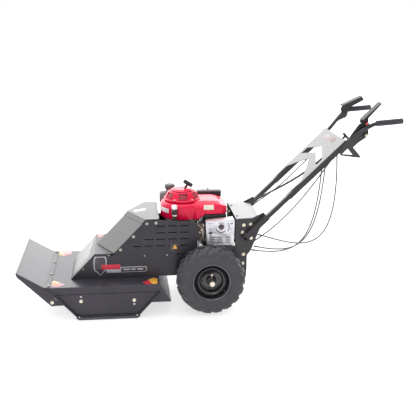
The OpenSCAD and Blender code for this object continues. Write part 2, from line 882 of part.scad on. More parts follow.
// Lower tubes sit in the frame's sockets, upper tubes slide over them
module handle_rails() {
    color(black_steel) both_sides() translate([0, rail_y, 0]) {
        on_rail(18) square_tube(inner_tube_end - 18, 25, 2.5);
        on_rail(outer_tube_start) square_tube(outer_tube_end - outer_tube_start, rail_w, 2);
    }
}

knob_n = -7;                        // knob's rod below the panel's lower face
panel_shift = 17;                   // panel's own zero, up the slope from the rail's foot
tab_s = 773;                        // tab that guides the knob's rod

// Sheet over the rails; distances run up the slope from the rail's foot
module control_panel() {
    edge = rail_y + rail_w / 2;
    t = 3;
    color(black_steel) on_rail(panel_shift, rail_w / 2) {
        difference() {
            linear_extrude(t) difference() {
                polygon([[810, edge], [810, -edge], [456, -edge], [382, -rail_y], [467, -195],
                         [516, -129], [538, -100], [595, 0], [538, 100], [516, 129], [467, 195],
                         [382, rail_y], [456, edge]]);
                polygon([[703, 0], [640, 180], [590, 180], [651, 0], [590, -180], [640, -180]]);
            }
            for (p = [[726, -60], [725, -193], [705, 187]])
                translate([p[0], p[1], -1]) cylinder(h = t + 2, r = 4);
        }
        difference() {
            translate([tab_s, -150, -16]) cube([4, 30, 17]);
            translate([tab_s - 5, -135, knob_n]) rotate([0, 90, 0])
                cylinder(h = 14, r = 4 + run_gap);
        }
    }
}

lever_pivot = [900, 1034];          // x and z, left lever
lever_pin_r = 6;
cheek_y = 238;                      // inner face of a lever's cheek
cheek_t = 3;
drive_angle = 52.5;                 // rest angle of the right lever
drive_pin = [42, 18];               // its pin, in the left lever's outline
drive_pivot = [lever_pivot[0] + drive_pin[0] * cos(drive_angle) - drive_pin[1] * sin(drive_angle),
               lever_pivot[1] + drive_pin[0] * sin(drive_angle) + drive_pin[1] * cos(drive_angle)];

// Spacer, pin and head of a lever's pivot, standing on the plate face at y_face
module lever_pivot_pin(p, y_face) {
    cross_bar(p[0], p[1], y_face - 1, cheek_y - y_face + 0.7, 10);
    cross_bar(p[0], p[1], y_face - 1, cheek_y + cheek_t + 4 - y_face, lever_pin_r);
    cross_hex(p[0], p[1], cheek_y + cheek_t + 1, 6, 17);
}

// Tall plate with a window on the left rail, small plate on the right grip bar
module control_brackets() {
    rail_face = rail_y + rail_w / 2;
    bar_face = 230;
    t = 4;
    color(black_steel) {
        mirror([0, 1, 0]) {
            difference() {
                side_sheet([[753, 941], [811, 1024], [821, 1041], [862, 1098], [884, 1098],
                            [905, 1063], [922, 1032], [903, 1015], [866, 990], [833, 961],
                            [881, 905], [874, 898], [760, 914]], rail_face, t);
                side_sheet([[770, 922], [801, 954], [832, 917]], rail_face - 1, t + 2);
                bent_bar(grip_path, bar_r, 0.5);
            }
            lever_pivot_pin(lever_pivot, rail_face + t);
        }
        difference() {
            side_sheet([[852, 1030], [846, 1046], [868, 1072], [885, 1092], [905, 1096],
                        [922, 1090], [925, 1074], [912, 1064], [880, 1050]], bar_face, t);
            bent_bar(grip_path, bar_r, 0.5);
        }
        lever_pivot_pin(drive_pivot, bar_face + t);
    }
}

grip_path = [[772, 203, 964], [812, 206, 1003], [895, 262, 1080], [935, 284, 1108],
             [1078, 284, 1119.7]];
bar_r = 11;
grip_start = 941;

button_at = [905, -267.5, 1087];        // on the left bar's centre line
button_lean = -35;                      // lean of the button from upright

module grip_bars() {
    color(black_steel) {
        both_sides() bent_bar(grip_path, bar_r, 0.5);
        translate(button_at) rotate([0, button_lean, 0]) difference() {
            cylinder(h = 20, r = 10.6);
            translate([0, 0, 12]) cylinder(h = 10, r = 8 + run_gap);
        }
    }
}

module lock_button() {
    color("red") translate(button_at) rotate([0, button_lean, 0]) translate([0, 0, 17.5])
        cylinder(h = 10, r = 8);
}

// T-shaped knob on a rod that slides through the panel's tab
module pull_knob() {
    color(plastic_black) on_rail(panel_shift, rail_w / 2) translate([0, -135, knob_n]) {
        translate([734, 0, 0]) rotate([0, 90, 0]) cylinder(h = 98, r = 4);
        translate([779, 0, 0]) rotate([0, 90, 0]) cylinder(h = 53, r = 6);
        translate([837, 0, -25]) cylinder(h = 48, r = 7.5);
    }
}

module grips() {
    slope = atan2(grip_path[4][2] - grip_path[3][2], grip_path[4][0] - grip_path[3][0]);
    rise = (grip_start - grip_path[3][0]) * tan(slope);
    color(plastic_black) both_sides()
        translate([grip_start, grip_y, grip_path[3][2] + rise]) rotate([0, 90 - slope, 0])
            difference() {
                cylinder(h = 156, r = grip_r);
                translate([0, 0, -1]) cylinder(h = 150, r = bar_r + 0.1);
                translate([0, 0, 138]) sphere(r = bar_r + 0.1);
            }
}

// Folded paddle: a cheek beside the bar and a flange over the grip, at rest angle a.
// The heel and back of the cheek follow where its pin sits.
module lever(a, pin, heel, back) {
    knee = [77, 67];
    tip = [200, 0];
    translate([lever_pivot[0], 0, lever_pivot[1]]) rotate([0, -a, 0]) {
        difference() {
            side_sheet(concat(heel, [[95, 24], [192, -20], tip, knee], back), cheek_y, cheek_t);
            cross_bar(pin[0], pin[1], cheek_y - 1, cheek_t + 2, lever_pin_r + run_gap);
        }
        side_sheet([knee, tip, tip + [2, 3], knee + [2, 3]], cheek_y, 54);
    }
}

module blade_lever() {
    color(black_steel) mirror([0, 1, 0])
        lever(72, [0, 0], [[-12, -4], [-4, -13], [9, -11]], [[62, 66], [30, 20], [-4, 12]]);
}

module drive_lever() {
    color(black_steel)
        lever(drive_angle, drive_pin, [[26, 8], [34, 2], [52, 3]], [[60, 66], [38, 36], [26, 22]]);
}

cable_r = 2.5;
cable_curves = [
    [[756, -170, 885], [790, -170, 240], [560, -170, 350], [300, -150, 425]],
    [[666, -170, 812], [640, -170, 330], [520, -170, 290], [262, -160, 332]],
    [[692, -150, 826], [660, -150, 320], [540, -150, 290], [280, -140, 348]],
    [[742, -120, 875], [590, -120, 650], [460, -120, 480], [268, -120, 366]],
    [[590, 60, 790], [500, 60, 700], [440, 60, 640], [310, 60, 560]]
];

// Control cables from the panel down to the frame, and the thick wiring harness
module control_cables() {
    color(plastic_black) {
        for (p = cable_curves) bent_bar(curve(p, 7), cable_r, 0.2);
        bent_bar(curve([[670, -128, 872], [560, -60, 740], [450, 60, 655], [322, 150, 552]], 4),
                 6.5, 0.3);
    }
}

deck_shell();
front_deflector();
skids();
wear_bars();
spindle_housing();
spindle_bearings();
spindle_shaft();
spindle_pulley();
blade();
blade_bolt();
belt_guard();
blade_belt();
drive_belt();
blade_idler_arm();
blade_idler_pulley();
drive_idler_arm();
drive_idler_pulley();
shield_sides();
shield_prow();
shield_top();
frame_plates();
engine_plate();
rear_cover();
frame_bolts();
body_screws();
transaxle_case();
input_drive();
left_axle();
right_axle();
left_rim();
right_rim();
left_tyre();
right_tyre();
crankcase();
cylinder_node();  // cylinder
piston();
crankshaft();
flywheel();
engine_pulley();
engine_shroud();
starter_cover();
starter_reel();
starter_grip();
fuel_tank();
fuel_cap();
air_cleaner();
carburetor();
muffler();
muffler_shield();
dipstick();
handle_rails();
control_panel();
control_brackets();
grip_bars();
grips();
blade_lever();
drive_lever();
lock_button();
pull_knob();
control_cables();
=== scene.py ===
"""Looks of the walk-behind brush cutter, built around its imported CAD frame. Units are metres."""
import json
import math

import bmesh
import bpy
from mathutils import Matrix, Vector, noise


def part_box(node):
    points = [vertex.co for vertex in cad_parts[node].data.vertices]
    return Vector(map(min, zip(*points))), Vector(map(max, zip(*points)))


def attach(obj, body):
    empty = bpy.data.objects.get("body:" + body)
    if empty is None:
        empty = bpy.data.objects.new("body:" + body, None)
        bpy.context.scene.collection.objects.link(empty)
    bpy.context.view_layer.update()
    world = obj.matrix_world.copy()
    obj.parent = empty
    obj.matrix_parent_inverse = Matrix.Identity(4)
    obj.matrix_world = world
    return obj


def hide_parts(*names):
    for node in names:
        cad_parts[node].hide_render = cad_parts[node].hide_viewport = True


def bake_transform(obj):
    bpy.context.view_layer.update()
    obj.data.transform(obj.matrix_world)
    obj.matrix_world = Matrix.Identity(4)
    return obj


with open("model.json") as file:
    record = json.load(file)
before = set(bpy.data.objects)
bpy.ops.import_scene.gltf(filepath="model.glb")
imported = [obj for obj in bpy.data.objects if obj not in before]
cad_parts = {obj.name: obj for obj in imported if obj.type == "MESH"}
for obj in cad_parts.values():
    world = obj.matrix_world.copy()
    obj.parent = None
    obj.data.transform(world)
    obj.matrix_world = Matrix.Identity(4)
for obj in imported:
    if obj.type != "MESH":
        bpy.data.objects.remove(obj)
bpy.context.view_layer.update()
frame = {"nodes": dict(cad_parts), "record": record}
NODES = frame["nodes"]
MM = 0.001


# ---------------------------------------------------------------- materials

class Graph:
    """Small helper that adds and links nodes of one material or world."""

    def __init__(self, tree):
        self.tree = tree
        tree.nodes.clear()

    def add(self, kind, inputs=None, **settings):
        node = self.tree.nodes.new("ShaderNode" + kind)
        for key, value in settings.items():
            setattr(node, key, value)
        for key, value in (inputs or {}).items():
            self.feed(node.inputs[key], value)
        return node

    def feed(self, socket, value):
        if isinstance(value, bpy.types.NodeSocket):
            self.tree.links.new(value, socket)
        elif isinstance(value, bpy.types.Node):
            self.tree.links.new(value.outputs[0], socket)
        else:
            socket.default_value = value

    def math(self, operation, a, b=0.0, clamp=False):
        return self.add("Math", {0: a, 1: b}, operation=operation, use_clamp=clamp).outputs[0]

    def mix(self, factor, a, b):
        node = self.add("Mix", data_type="RGBA")
        self.feed(node.inputs[0], factor)
        self.feed(node.inputs[6], a)
        self.feed(node.inputs[7], b)
        return node.outputs[2]

    def ramp(self, value, low, high, start=0.0, end=1.0):
        node = self.add("MapRange", {0: value, 1: low, 2: high, 3: start, 4: end})
        return node.outputs[0]

    def noise(self, scale, detail=3.0, roughness=0.55):
        node = self.add("TexNoise", {"Vector": self.place(), "Scale": scale, "Detail": detail,
                                     "Roughness": roughness})
        return node.outputs[0]

    def place(self):
        return self.add("TexCoord").outputs["Object"]


def rgb(r, g, b):
    return (r, g, b, 1.0)


def edge_wear_and_highlight(g, radius):
    """About 1 along sharp convex or concave edges, 0 on flats."""
    soft = g.add("Bevel", {"Radius": radius}, samples=4)
    flat = g.add("NewGeometry").outputs["Normal"]
    dot = g.add("VectorMath", {0: soft.outputs[0], 1: flat}, operation="DOT_PRODUCT")
    return soft, g.ramp(dot.outputs["Value"], 0.995, 0.90)


def surface(name, color, *, dark=None, metallic=0.0, rough=0.4, rough_var=0.08, grain=400.0,
            bump=0.15, cloud=14.0, wear=None, wear_and_highlight_radius=0.0012, coat=0.0, coat_rough=0.1,
            sheen=0.0, ior=1.5):
    """General finish: colour clouds, grain bump, roughness variation and optional lighter edges,
    part edge wear and part painted highlight.
    """
    mat = bpy.data.materials.new(name)
    mat.use_nodes = True
    g = Graph(mat.node_tree)
    clouds = g.noise(cloud, 5.0)
    fine = g.noise(grain, 2.0)
    shade = g.mix(g.ramp(clouds, 0.35, 0.7), rgb(*color), rgb(*(dark or [c * 0.8 for c in color])))
    roughness = g.ramp(g.math("ADD", clouds, fine), 0.6, 1.4, rough - rough_var, rough + rough_var)
    height = g.math("ADD", fine, g.math("MULTIPLY", clouds, 0.3))
    normal = None
    if wear is not None:
        # Lighter wear colour along the edges, broken up by noise: part edge wear, part painted
        # highlight on the edges.
        soft, edges = edge_wear_and_highlight(g, wear_and_highlight_radius)
        edges = g.math("MULTIPLY", edges, g.ramp(g.noise(55.0, 4.0), 0.35, 0.65), clamp=True)
        shade = g.mix(edges, shade, rgb(*wear))
        normal = soft.outputs[0]
    bumped = g.add("Bump", {"Strength": bump, "Distance": 0.001, "Height": height})
    if normal is not None:
        g.feed(bumped.inputs["Normal"], normal)
    bsdf = g.add("BsdfPrincipled", {
        "Base Color": shade, "Metallic": metallic, "Roughness": roughness, "IOR": ior,
        "Normal": bumped, "Coat Weight": coat, "Coat Roughness": coat_rough,
        "Sheen Weight": sheen})
    g.add("OutputMaterial", {"Surface": bsdf.outputs[0]})
    return mat


MATERIALS = {
    "black_powder": surface("powder_black", (0.020, 0.018, 0.021), dark=(0.028, 0.026, 0.030),
                            rough=0.30, rough_var=0.05, grain=900, bump=0.10, cloud=6,
                            wear=(0.16, 0.15, 0.16)),
    "zinc": surface("zinc_plate", (0.83, 0.79, 0.68), dark=(0.70, 0.62, 0.45), metallic=0.9,
                    rough=0.36, grain=700, bump=0.10, cloud=60),
    "bare_steel": surface("bare_steel", (0.55, 0.56, 0.58), metallic=1.0, rough=0.3, grain=800),
    "grey_iron": surface("grey_iron", (0.22, 0.23, 0.24), dark=(0.13, 0.12, 0.12), metallic=0.6,
                         rough=0.55, grain=500, bump=0.35),
    "cast_alloy": surface("cast_alloy", (0.50, 0.51, 0.53), dark=(0.30, 0.30, 0.31),
                          metallic=0.75, rough=0.48, grain=450, bump=0.35, cloud=30),
    "engine_red": surface("engine_red", (0.78, 0.006, 0.060), dark=(0.70, 0.004, 0.045),
                          rough=0.26, rough_var=0.04, grain=700, bump=0.05, coat=0.0,
                          cloud=9, ior=1.40),
    "black_plastic": surface("black_plastic", (0.022, 0.022, 0.024), rough=0.48, grain=900,
                             bump=0.25),
    "grey_plastic": surface("grey_plastic", (0.42, 0.43, 0.45), rough=0.45, grain=900, bump=0.15),
    "tyre_rubber": surface("tyre_rubber", (0.033, 0.032, 0.038), dark=(0.050, 0.048, 0.053),
                           rough=0.62, grain=350, bump=0.35, cloud=22, sheen=0.1),
    "grip_rubber": surface("grip_rubber", (0.032, 0.028, 0.036), dark=(0.045, 0.04, 0.05),
                           rough=0.58, grain=800, bump=0.3, cloud=40),
    "belt_rubber": surface("belt_rubber", (0.02, 0.02, 0.02), rough=0.7, grain=600, bump=0.3),
    "gloss_black": surface("gloss_black", (0.014, 0.014, 0.017), rough=0.16, rough_var=0.04,
                           grain=260, bump=0.05, cloud=10, coat=0.6, coat_rough=0.05),
    "silver_sheet": surface("silver_sheet", (0.78, 0.79, 0.82), dark=(0.62, 0.62, 0.66),
                            metallic=0.85, rough=0.42, grain=320, bump=0.25, cloud=26),
    "dark_steel": surface("dark_steel", (0.10, 0.10, 0.11), dark=(0.17, 0.13, 0.11), metallic=0.7,
                          rough=0.5, grain=500, bump=0.3, cloud=30),
    "red_plastic": surface("red_plastic", (0.80, 0.08, 0.06), rough=0.35, grain=700, bump=0.1),
}
MATERIALS.update({
    "deep_black": surface("deep_black", (0.024, 0.022, 0.029), dark=(0.034, 0.031, 0.040),
                          rough=0.34, rough_var=0.05, grain=900, bump=0.10, cloud=6,
                          wear=(0.20, 0.19, 0.22), ior=1.42),
    "deck_black": surface("deck_black", (0.034, 0.031, 0.040), dark=(0.045, 0.041, 0.052),
                          rough=0.27, rough_var=0.05, grain=900, bump=0.10, cloud=6,
                          wear=(0.22, 0.21, 0.24), ior=1.40),
    "lever_black": surface("lever_black", (0.014, 0.013, 0.015), rough=0.5, rough_var=0.05,
                           grain=900, bump=0.12, cloud=8, wear=(0.10, 0.10, 0.11)),
    "bar_black": surface("bar_black", (0.016, 0.015, 0.017), rough=0.34, rough_var=0.05,
                         grain=900, bump=0.08, cloud=8),
    "wear_steel": surface("wear_steel", (0.05, 0.048, 0.055), dark=(0.09, 0.085, 0.09),
                          metallic=0.3, rough=0.42, grain=500, bump=0.2, cloud=30,
                          wear=(0.35, 0.34, 0.36)),
    "zinc_dull": surface("zinc_dull", (0.50, 0.46, 0.40), dark=(0.36, 0.32, 0.26), metallic=0.8,
                         rough=0.42, grain=700, bump=0.1, cloud=60),
    "cable_jacket": surface("cable_jacket", (0.10, 0.092, 0.088), dark=(0.14, 0.13, 0.12),
                            rough=0.42, grain=800, bump=0.1, cloud=40),
    # Matt near-black that reflects almost nothing: painted shade behind the side slots and on the
    # rear cover's front wall.
    "liner_black": surface("liner_black", (0.006, 0.006, 0.007), rough=0.8, grain=500, bump=0.4,
                           cloud=20, ior=1.1),
    "tank_grey": surface("tank_grey", (0.22, 0.20, 0.205), dark=(0.17, 0.16, 0.165), rough=0.5,
                         grain=900, bump=0.2, cloud=12),
    "cap_grey": surface("cap_grey", (0.09, 0.088, 0.092), dark=(0.12, 0.118, 0.122), rough=0.45,
                        grain=900, bump=0.2, cloud=20),
    "lid_grey": surface("lid_grey", (0.22, 0.23, 0.225), dark=(0.17, 0.175, 0.17), rough=0.28,
                        grain=900, bump=0.08, cloud=20),
    "boss_brown": surface("boss_brown", (0.16, 0.12, 0.12), dark=(0.10, 0.07, 0.07),
                          metallic=0.5, rough=0.5, grain=500, bump=0.3, cloud=40),
    "label_white": surface("label_white", (0.86, 0.85, 0.86), rough=0.4, grain=600, bump=0.05,
                           cloud=30),
    "label_cream": surface("label_cream", (0.84, 0.76, 0.64), dark=(0.74, 0.66, 0.54), rough=0.4,
                           grain=600, bump=0.05, cloud=50),
    "label_amber": surface("label_amber", (0.86, 0.42, 0.06), rough=0.4, grain=600, bump=0.05,
                           cloud=30),
    "label_red": surface("label_red", (0.62, 0.02, 0.05), rough=0.35, grain=600, bump=0.05,
                         cloud=30),
    "label_pale": surface("label_pale", (0.24, 0.235, 0.225), dark=(0.16, 0.155, 0.15),
                          rough=0.35, grain=600, bump=0.05, cloud=5, ior=1.35),
    "label_faded": surface("label_faded", (0.20, 0.12, 0.12), dark=(0.14, 0.10, 0.10), rough=0.3,
                           grain=600, bump=0.05, cloud=60),
    "label_straw": surface("label_straw", (0.52, 0.42, 0.26), dark=(0.44, 0.34, 0.20), rough=0.4,
                           grain=600, bump=0.05, cloud=50),
    "panel_black": surface("panel_black", (0.034, 0.031, 0.040), dark=(0.045, 0.041, 0.052),
                           rough=0.24, rough_var=0.04, grain=900, bump=0.08, cloud=6,
                           wear=(0.22, 0.21, 0.24), ior=1.74),
    "label_rose": surface("label_rose", (0.50, 0.26, 0.26), dark=(0.44, 0.20, 0.22), rough=0.4,
                          grain=600, bump=0.05, cloud=60),
    "label_badge": surface("label_badge", (0.035, 0.032, 0.036), dark=(0.06, 0.05, 0.055),
                           rough=0.25, grain=600, bump=0.05, cloud=40),
    # Light grey of the thin rim rings: painted highlight lines.
    "rim_line": surface("rim_line", (0.30, 0.29, 0.31), dark=(0.20, 0.20, 0.21), rough=0.3,
                        grain=600, bump=0.1, cloud=30),
    "label_silver": surface("label_silver", (0.46, 0.46, 0.50), dark=(0.32, 0.32, 0.36),
                            metallic=0.2, rough=0.4, grain=600, bump=0.05, cloud=50),
})
FINISH_OF = {"belt_guard": "deep_black", "shield_sides": "deep_black",
             "deck_shell": "deck_black", "skids": "deck_black",
             "front_deflector": "deck_black", "blade_lever": "lever_black",
             "control_panel": "panel_black", "rear_cover": "panel_black",
             "handle_rails": "bar_black",
             "drive_lever": "lever_black", "wear_bars": "wear_steel"}
SLOT_OF = {row["node"]: row["material_slot"] for row in frame["record"]["subparts"]}


def paint(obj, slot):
    obj.data.materials.clear()
    obj.data.materials.append(MATERIALS[slot])


def dress_cad():
    """Gives every CAD node its finish, rounded shading left to the materials."""
    for name, obj in NODES.items():
        paint(obj, FINISH_OF.get(name, SLOT_OF[name]))


# ---------------------------------------------------------------- mesh helpers

def piece(name, verts, faces, body, slot, smooth=True, replaces=(), finish=None):
    """A new mesh that rides on a body, painted with its finish or, without one, with the material
    of its record slot.
    """
    mesh = bpy.data.meshes.new(name)
    mesh.from_pydata([tuple(Vector(v) * MM) for v in verts], [], faces)
    mesh.validate()
    for polygon in mesh.polygons:
        polygon.use_smooth = smooth
    obj = bpy.data.objects.new(name, mesh)
    bpy.context.scene.collection.objects.link(obj)
    paint(obj, finish or slot)
    if body:
        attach(obj, body)
    if replaces:
        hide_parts(*replaces)
    return obj


def fix_normals(obj):
    bm = bmesh.new()
    bm.from_mesh(obj.data)
    bmesh.ops.recalc_face_normals(bm, faces=bm.faces)
    bm.to_mesh(obj.data)
    bm.free()


def bevel(obj, width, segments=2, angle=35):
    mod = obj.modifiers.new("bevel", "BEVEL")
    mod.width = width
    mod.segments = segments
    mod.limit_method = "ANGLE"
    mod.angle_limit = math.radians(angle)
    mod.harden_normals = False
    smooth_by_angle(obj, 35)
    return mod


def smooth_by_angle(obj, degrees):
    """Smooth shading with sharp edges where faces meet at more than the angle."""
    mesh = obj.data
    for polygon in mesh.polygons:
        polygon.use_smooth = True
    bm = bmesh.new()
    bm.from_mesh(mesh)
    limit = math.radians(degrees)
    for edge in bm.edges:
        if len(edge.link_faces) == 2:
            edge.smooth = edge.calc_face_angle(0.0) < limit
    bm.to_mesh(mesh)
    bm.free()


def axis_frame(axis):
    """Two unit vectors square to axis."""
    axis = Vector(axis).normalized()
    side = axis.orthogonal().normalized()
    return side, axis.cross(side)


def lathe(profile, centre, axis, segments=64, closed=False):
    """Turns (radius, distance along axis) points about an axis through centre."""
    axis = Vector(axis).normalized()
    u, v = axis_frame(axis)
    centre = Vector(centre)
    verts, faces = [], []
    count = len(profile)
    for s in range(segments):
        a = 2 * math.pi * s / segments
        out = u * math.cos(a) + v * math.sin(a)
        verts += [centre + out * r + axis * h for r, h in profile]
    rings = count if closed else count - 1
    for s in range(segments):
        for k in range(rings):
            a, b = s * count + k, s * count + (k + 1) % count
            c, d = ((s + 1) % segments) * count + (k + 1) % count, ((s + 1) % segments) * count + k
            faces.append((a, b, c, d))
    return verts, faces


def merge(*parts):
    """Joins (verts, faces) pairs into one."""
    verts, faces = [], []
    for part_verts, part_faces in parts:
        base = len(verts)
        verts += [Vector(v) for v in part_verts]
        faces += [tuple(i + base for i in f) for f in part_faces]
    return verts, faces


def spline(points, steps=8):
    """Catmull-Rom curve through the points."""
    pts = [Vector(p) for p in points]
    pts = [pts[0] * 2 - pts[1]] + pts + [pts[-1] * 2 - pts[-2]]
    out = []
    for i in range(1, len(pts) - 2):
        p0, p1, p2, p3 = pts[i - 1:i + 3]
        for s in range(steps):
            t = s / steps
            out.append(0.5 * (2 * p1 + (p2 - p0) * t + (2 * p0 - 5 * p1 + 4 * p2 - p3) * t * t
                              + (3 * p1 - p0 - 3 * p2 + p3) * t ** 3))
    out.append(pts[-2])
    return out


def sweep(path, radius, sides=16, caps=True):
    """Round tube along a path; radius is a number or one per point."""
    path = [Vector(p) for p in path]
    radii = radius if isinstance(radius, (list, tuple)) else [radius] * len(path)
    verts, faces = [], []
    tangent = (path[1] - path[0]).normalized()
    side = tangent.orthogonal().normalized()
    for i, point in enumerate(path):
        ahead = path[min(i + 1, len(path) - 1)] - path[max(i - 1, 0)]
        tangent = ahead.normalized()
        side = (side - tangent * side.dot(tangent)).normalized()
        up = tangent.cross(side)
        for s in range(sides):
            a = 2 * math.pi * s / sides
            verts.append(point + (side * math.cos(a) + up * math.sin(a)) * radii[i])
    for i in range(len(path) - 1):
        for s in range(sides):
            n = (s + 1) % sides
            faces.append((i * sides + s, i * sides + n, (i + 1) * sides + n, (i + 1) * sides + s))
    if caps:
        faces.append(tuple(reversed(range(sides))))
        faces.append(tuple(range((len(path) - 1) * sides, len(path) * sides)))
    return verts, faces


def round_corners(points, radius, steps=5):
    """Replaces each corner of a closed 2-D outline by an arc."""
    out = []
    count = len(points)
    radii = radius if isinstance(radius, (list, tuple)) else [radius] * count
    for i, r in enumerate(radii):
        p = Vector(points[i])
        a = Vector(points[i - 1]) - p
        b = Vector(points[(i + 1) % count]) - p
        cut = min(r, a.length * 0.49, b.length * 0.49)
        if cut <= 1e-6:
            out.append(p)
            continue
        start, end = p + a.normalized() * cut, p + b.normalized() * cut
        for s in range(steps + 1):
            t = s / steps
            out.append(start * (1 - t) ** 2 + p * 2 * t * (1 - t) + end * t * t)
    return out


# ---------------------------------------------------------------- stage, light and camera

CAMERA_AT = Vector((-0.4814, -4.2987, 1.7723))
CAMERA_YAW = math.radians(6.577)
CAMERA_PITCH = math.radians(15.714)
CAMERA_ROLL = math.radians(-0.345)
CAMERA_LENS = 63.67


def make_camera():
    ahead = Vector((math.sin(CAMERA_YAW) * math.cos(CAMERA_PITCH),
                    math.cos(CAMERA_YAW) * math.cos(CAMERA_PITCH), -math.sin(CAMERA_PITCH)))
    right = Vector((math.cos(CAMERA_YAW), -math.sin(CAMERA_YAW), 0.0))
    down = ahead.cross(right)
    c, s = math.cos(CAMERA_ROLL), math.sin(CAMERA_ROLL)
    x_axis = right * c + down * s
    y_axis = -(down * c - right * s)
    rotation = Matrix((x_axis, y_axis, -ahead)).transposed().to_4x4()
    data = bpy.data.cameras.new("camera")
    data.lens = CAMERA_LENS
    data.sensor_width = 36.0
    data.clip_end = 60.0
    cam = bpy.data.objects.new("camera", data)
    cam.matrix_world = Matrix.Translation(CAMERA_AT) @ rotation
    bpy.context.scene.collection.objects.link(cam)
    bpy.context.scene.camera = cam


def lobe(g, direction, sharpness, strength):
    """A soft bright patch of sky around a direction."""
    look = g.add("TexCoord").outputs["Generated"]
    dot = g.add("VectorMath", {0: look, 1: Vector(direction).normalized()},
                operation="DOT_PRODUCT").outputs["Value"]
    power = g.math("POWER", g.math("MAXIMUM", dot, 0.0), sharpness)
    return g.math("MULTIPLY", power, strength)


def make_world():
    """A white studio: bright backdrop behind, softbox above and one at the upper front left."""
    world = bpy.data.worlds.new("studio")
    bpy.context.scene.world = world
    world.use_nodes = True
    g = Graph(world.node_tree)
    level = 0.75
    for direction, sharpness, strength in STUDIO_LIGHTS:
        level = g.math("ADD", level, lobe(g, direction, sharpness, strength))
    camera_ray = g.add("LightPath").outputs["Is Camera Ray"]
    strength = g.add("Mix", {0: camera_ray, 2: level, 3: 1.0}, data_type="FLOAT")
    background = g.add("Background", {"Color": rgb(1.0, 1.0, 1.0), "Strength": strength})
    g.add("OutputWorld", {"Surface": background.outputs[0]})


STUDIO_LIGHTS = [
    ((0.0, 0.95, 0.30), 3.0, 1.7),
    ((0.42, 0.86, 0.30), 9.0, 1.6),
    ((-0.68, 0.57, 0.42), 10.0, 3.2),
    ((0.0, -0.1, 1.0), 8.0, 1.9),
    ((-0.15, -0.75, 0.65), 80.0, 5.0),
]


def make_floor():
    mat = bpy.data.materials.new("floor")
    mat.use_nodes = True
    g = Graph(mat.node_tree)
    speckle = g.noise(3.0, 2.0)
    away = g.add("SeparateXYZ", {0: g.place()}).outputs["Y"]
    camera_ray = g.add("LightPath").outputs["Is Camera Ray"]
    glow = g.add("Mix", {0: camera_ray, 2: g.ramp(away, 1.5, 8.0, 0.66, 2.1), 3: 0.64},
                 data_type="FLOAT")
    bsdf = g.add("BsdfPrincipled", {
        "Base Color": g.mix(speckle, rgb(0.42, 0.415, 0.43), rgb(0.40, 0.395, 0.41)),
        "Roughness": 0.5, "Emission Color": rgb(1.0, 0.99, 1.0), "Emission Strength": glow})
    g.add("OutputMaterial", {"Surface": bsdf.outputs[0]})
    mesh = bpy.data.meshes.new("floor")
    reach = 14.0
    mesh.from_pydata([(-reach, -reach, 0), (reach, -reach, 0), (reach, reach, 0),
                      (-reach, reach, 0)], [], [(0, 1, 2, 3)])
    floor = bpy.data.objects.new("floor", mesh)
    floor.data.materials.append(mat)
    bpy.context.scene.collection.objects.link(floor)


# ---------------------------------------------------------------- anchors from the CAD (mm)

def low(node):
    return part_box(node)[0] * 1000


def high(node):
    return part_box(node)[1] * 1000


def middle(node):
    return (low(node) + high(node)) / 2


WHEELS = {"left": middle("left_tyre"), "right": middle("right_tyre")}
CRANK = middle("flywheel")
SHROUD_LOW, SHROUD_HIGH = low("engine_shroud"), high("engine_shroud")
CAP_LOW = low("fuel_cap")
CAP = middle("fuel_cap")


# ---------------------------------------------------------------- wheels

LUGS = 18
# Stations across a lug: outer radius, outer offset, inner radius, inner offset, lag, half width
LUG_STATIONS = [
    (168.0, 76.6, 168.0, 72.0, 0.0, 3.4),
    (179.5, 73.0, 176.0, 65.0, 0.3, 4.6),
    (188.5, 66.0, 181.0, 58.0, 0.8, 4.9),
    (194.5, 55.0, 185.0, 50.0, 2.0, 4.8),
    (200.5, 34.0, 189.0, 34.0, 6.5, 4.2),
    (203.0, 14.0, 190.0, 14.0, 10.5, 4.0),
    (203.0, 4.0, 190.0, 4.0, 12.0, 2.6),
]
CARCASS_HALF = [
    (104, 56), (107, 62), (112, 66.2), (116, 67.2), (119, 68.4), (122, 71.2), (126, 72.8),
    (130, 72.4), (133, 73.2), (141, 75.4), (150, 76.6), (158, 76.8), (161, 77.2), (164, 77.0),
    (166.5, 75.6), (172, 73), (178, 68), (183, 61), (187, 53), (190.5, 42), (192.8, 24),
    (193.6, 0)]


def wheel_point(centre, out, radius, offset, degrees):
    a = math.radians(degrees)
    return Vector((centre.x + radius * math.cos(a), centre.y + out * offset,
                   centre.z + radius * math.sin(a)))


def make_tyre(side):
    centre = WHEELS[side]
    out = -1 if side == "left" else 1
    profile = [(r, -h) for r, h in CARCASS_HALF] + [(r, h) for r, h in CARCASS_HALF[-2::-1]]
    parts = [lathe(profile, centre, (0, out, 0), 144, closed=True)]
    for hand in (-1, 1):
        for i in range(LUGS):
            base = (i + (0.25 if hand * out > 0 else 0.75)) * 360 / LUGS
            verts, faces = [], []
            for r1, h1, r0, h0, lag, half in LUG_STATIONS:
                a = base - lag
                verts += [wheel_point(centre, hand, r0, h0, a - half - 0.5),
                          wheel_point(centre, hand, r1, h1, a - half),
                          wheel_point(centre, hand, r1, h1, a),
                          wheel_point(centre, hand, r1, h1, a + half),
                          wheel_point(centre, hand, r0, h0, a + half + 0.5)]
            for k in range(len(LUG_STATIONS) - 1):
                for c in range(5):
                    a, b = k * 5 + c, k * 5 + (c + 1) % 5
                    faces.append((a, b, b + 5, a + 5))
            last = 5 * (len(LUG_STATIONS) - 1)
            faces += [(4, 3, 2, 1, 0), tuple(last + c for c in range(5))]
            parts.append((verts, faces))
    obj = piece(side + "_tyre_body", *merge(*parts), side + "_wheel", "tyre_rubber",
                replaces=[side + "_tyre"])
    fix_normals(obj)
    bevel(obj, 1.4 * MM, 2, 30)


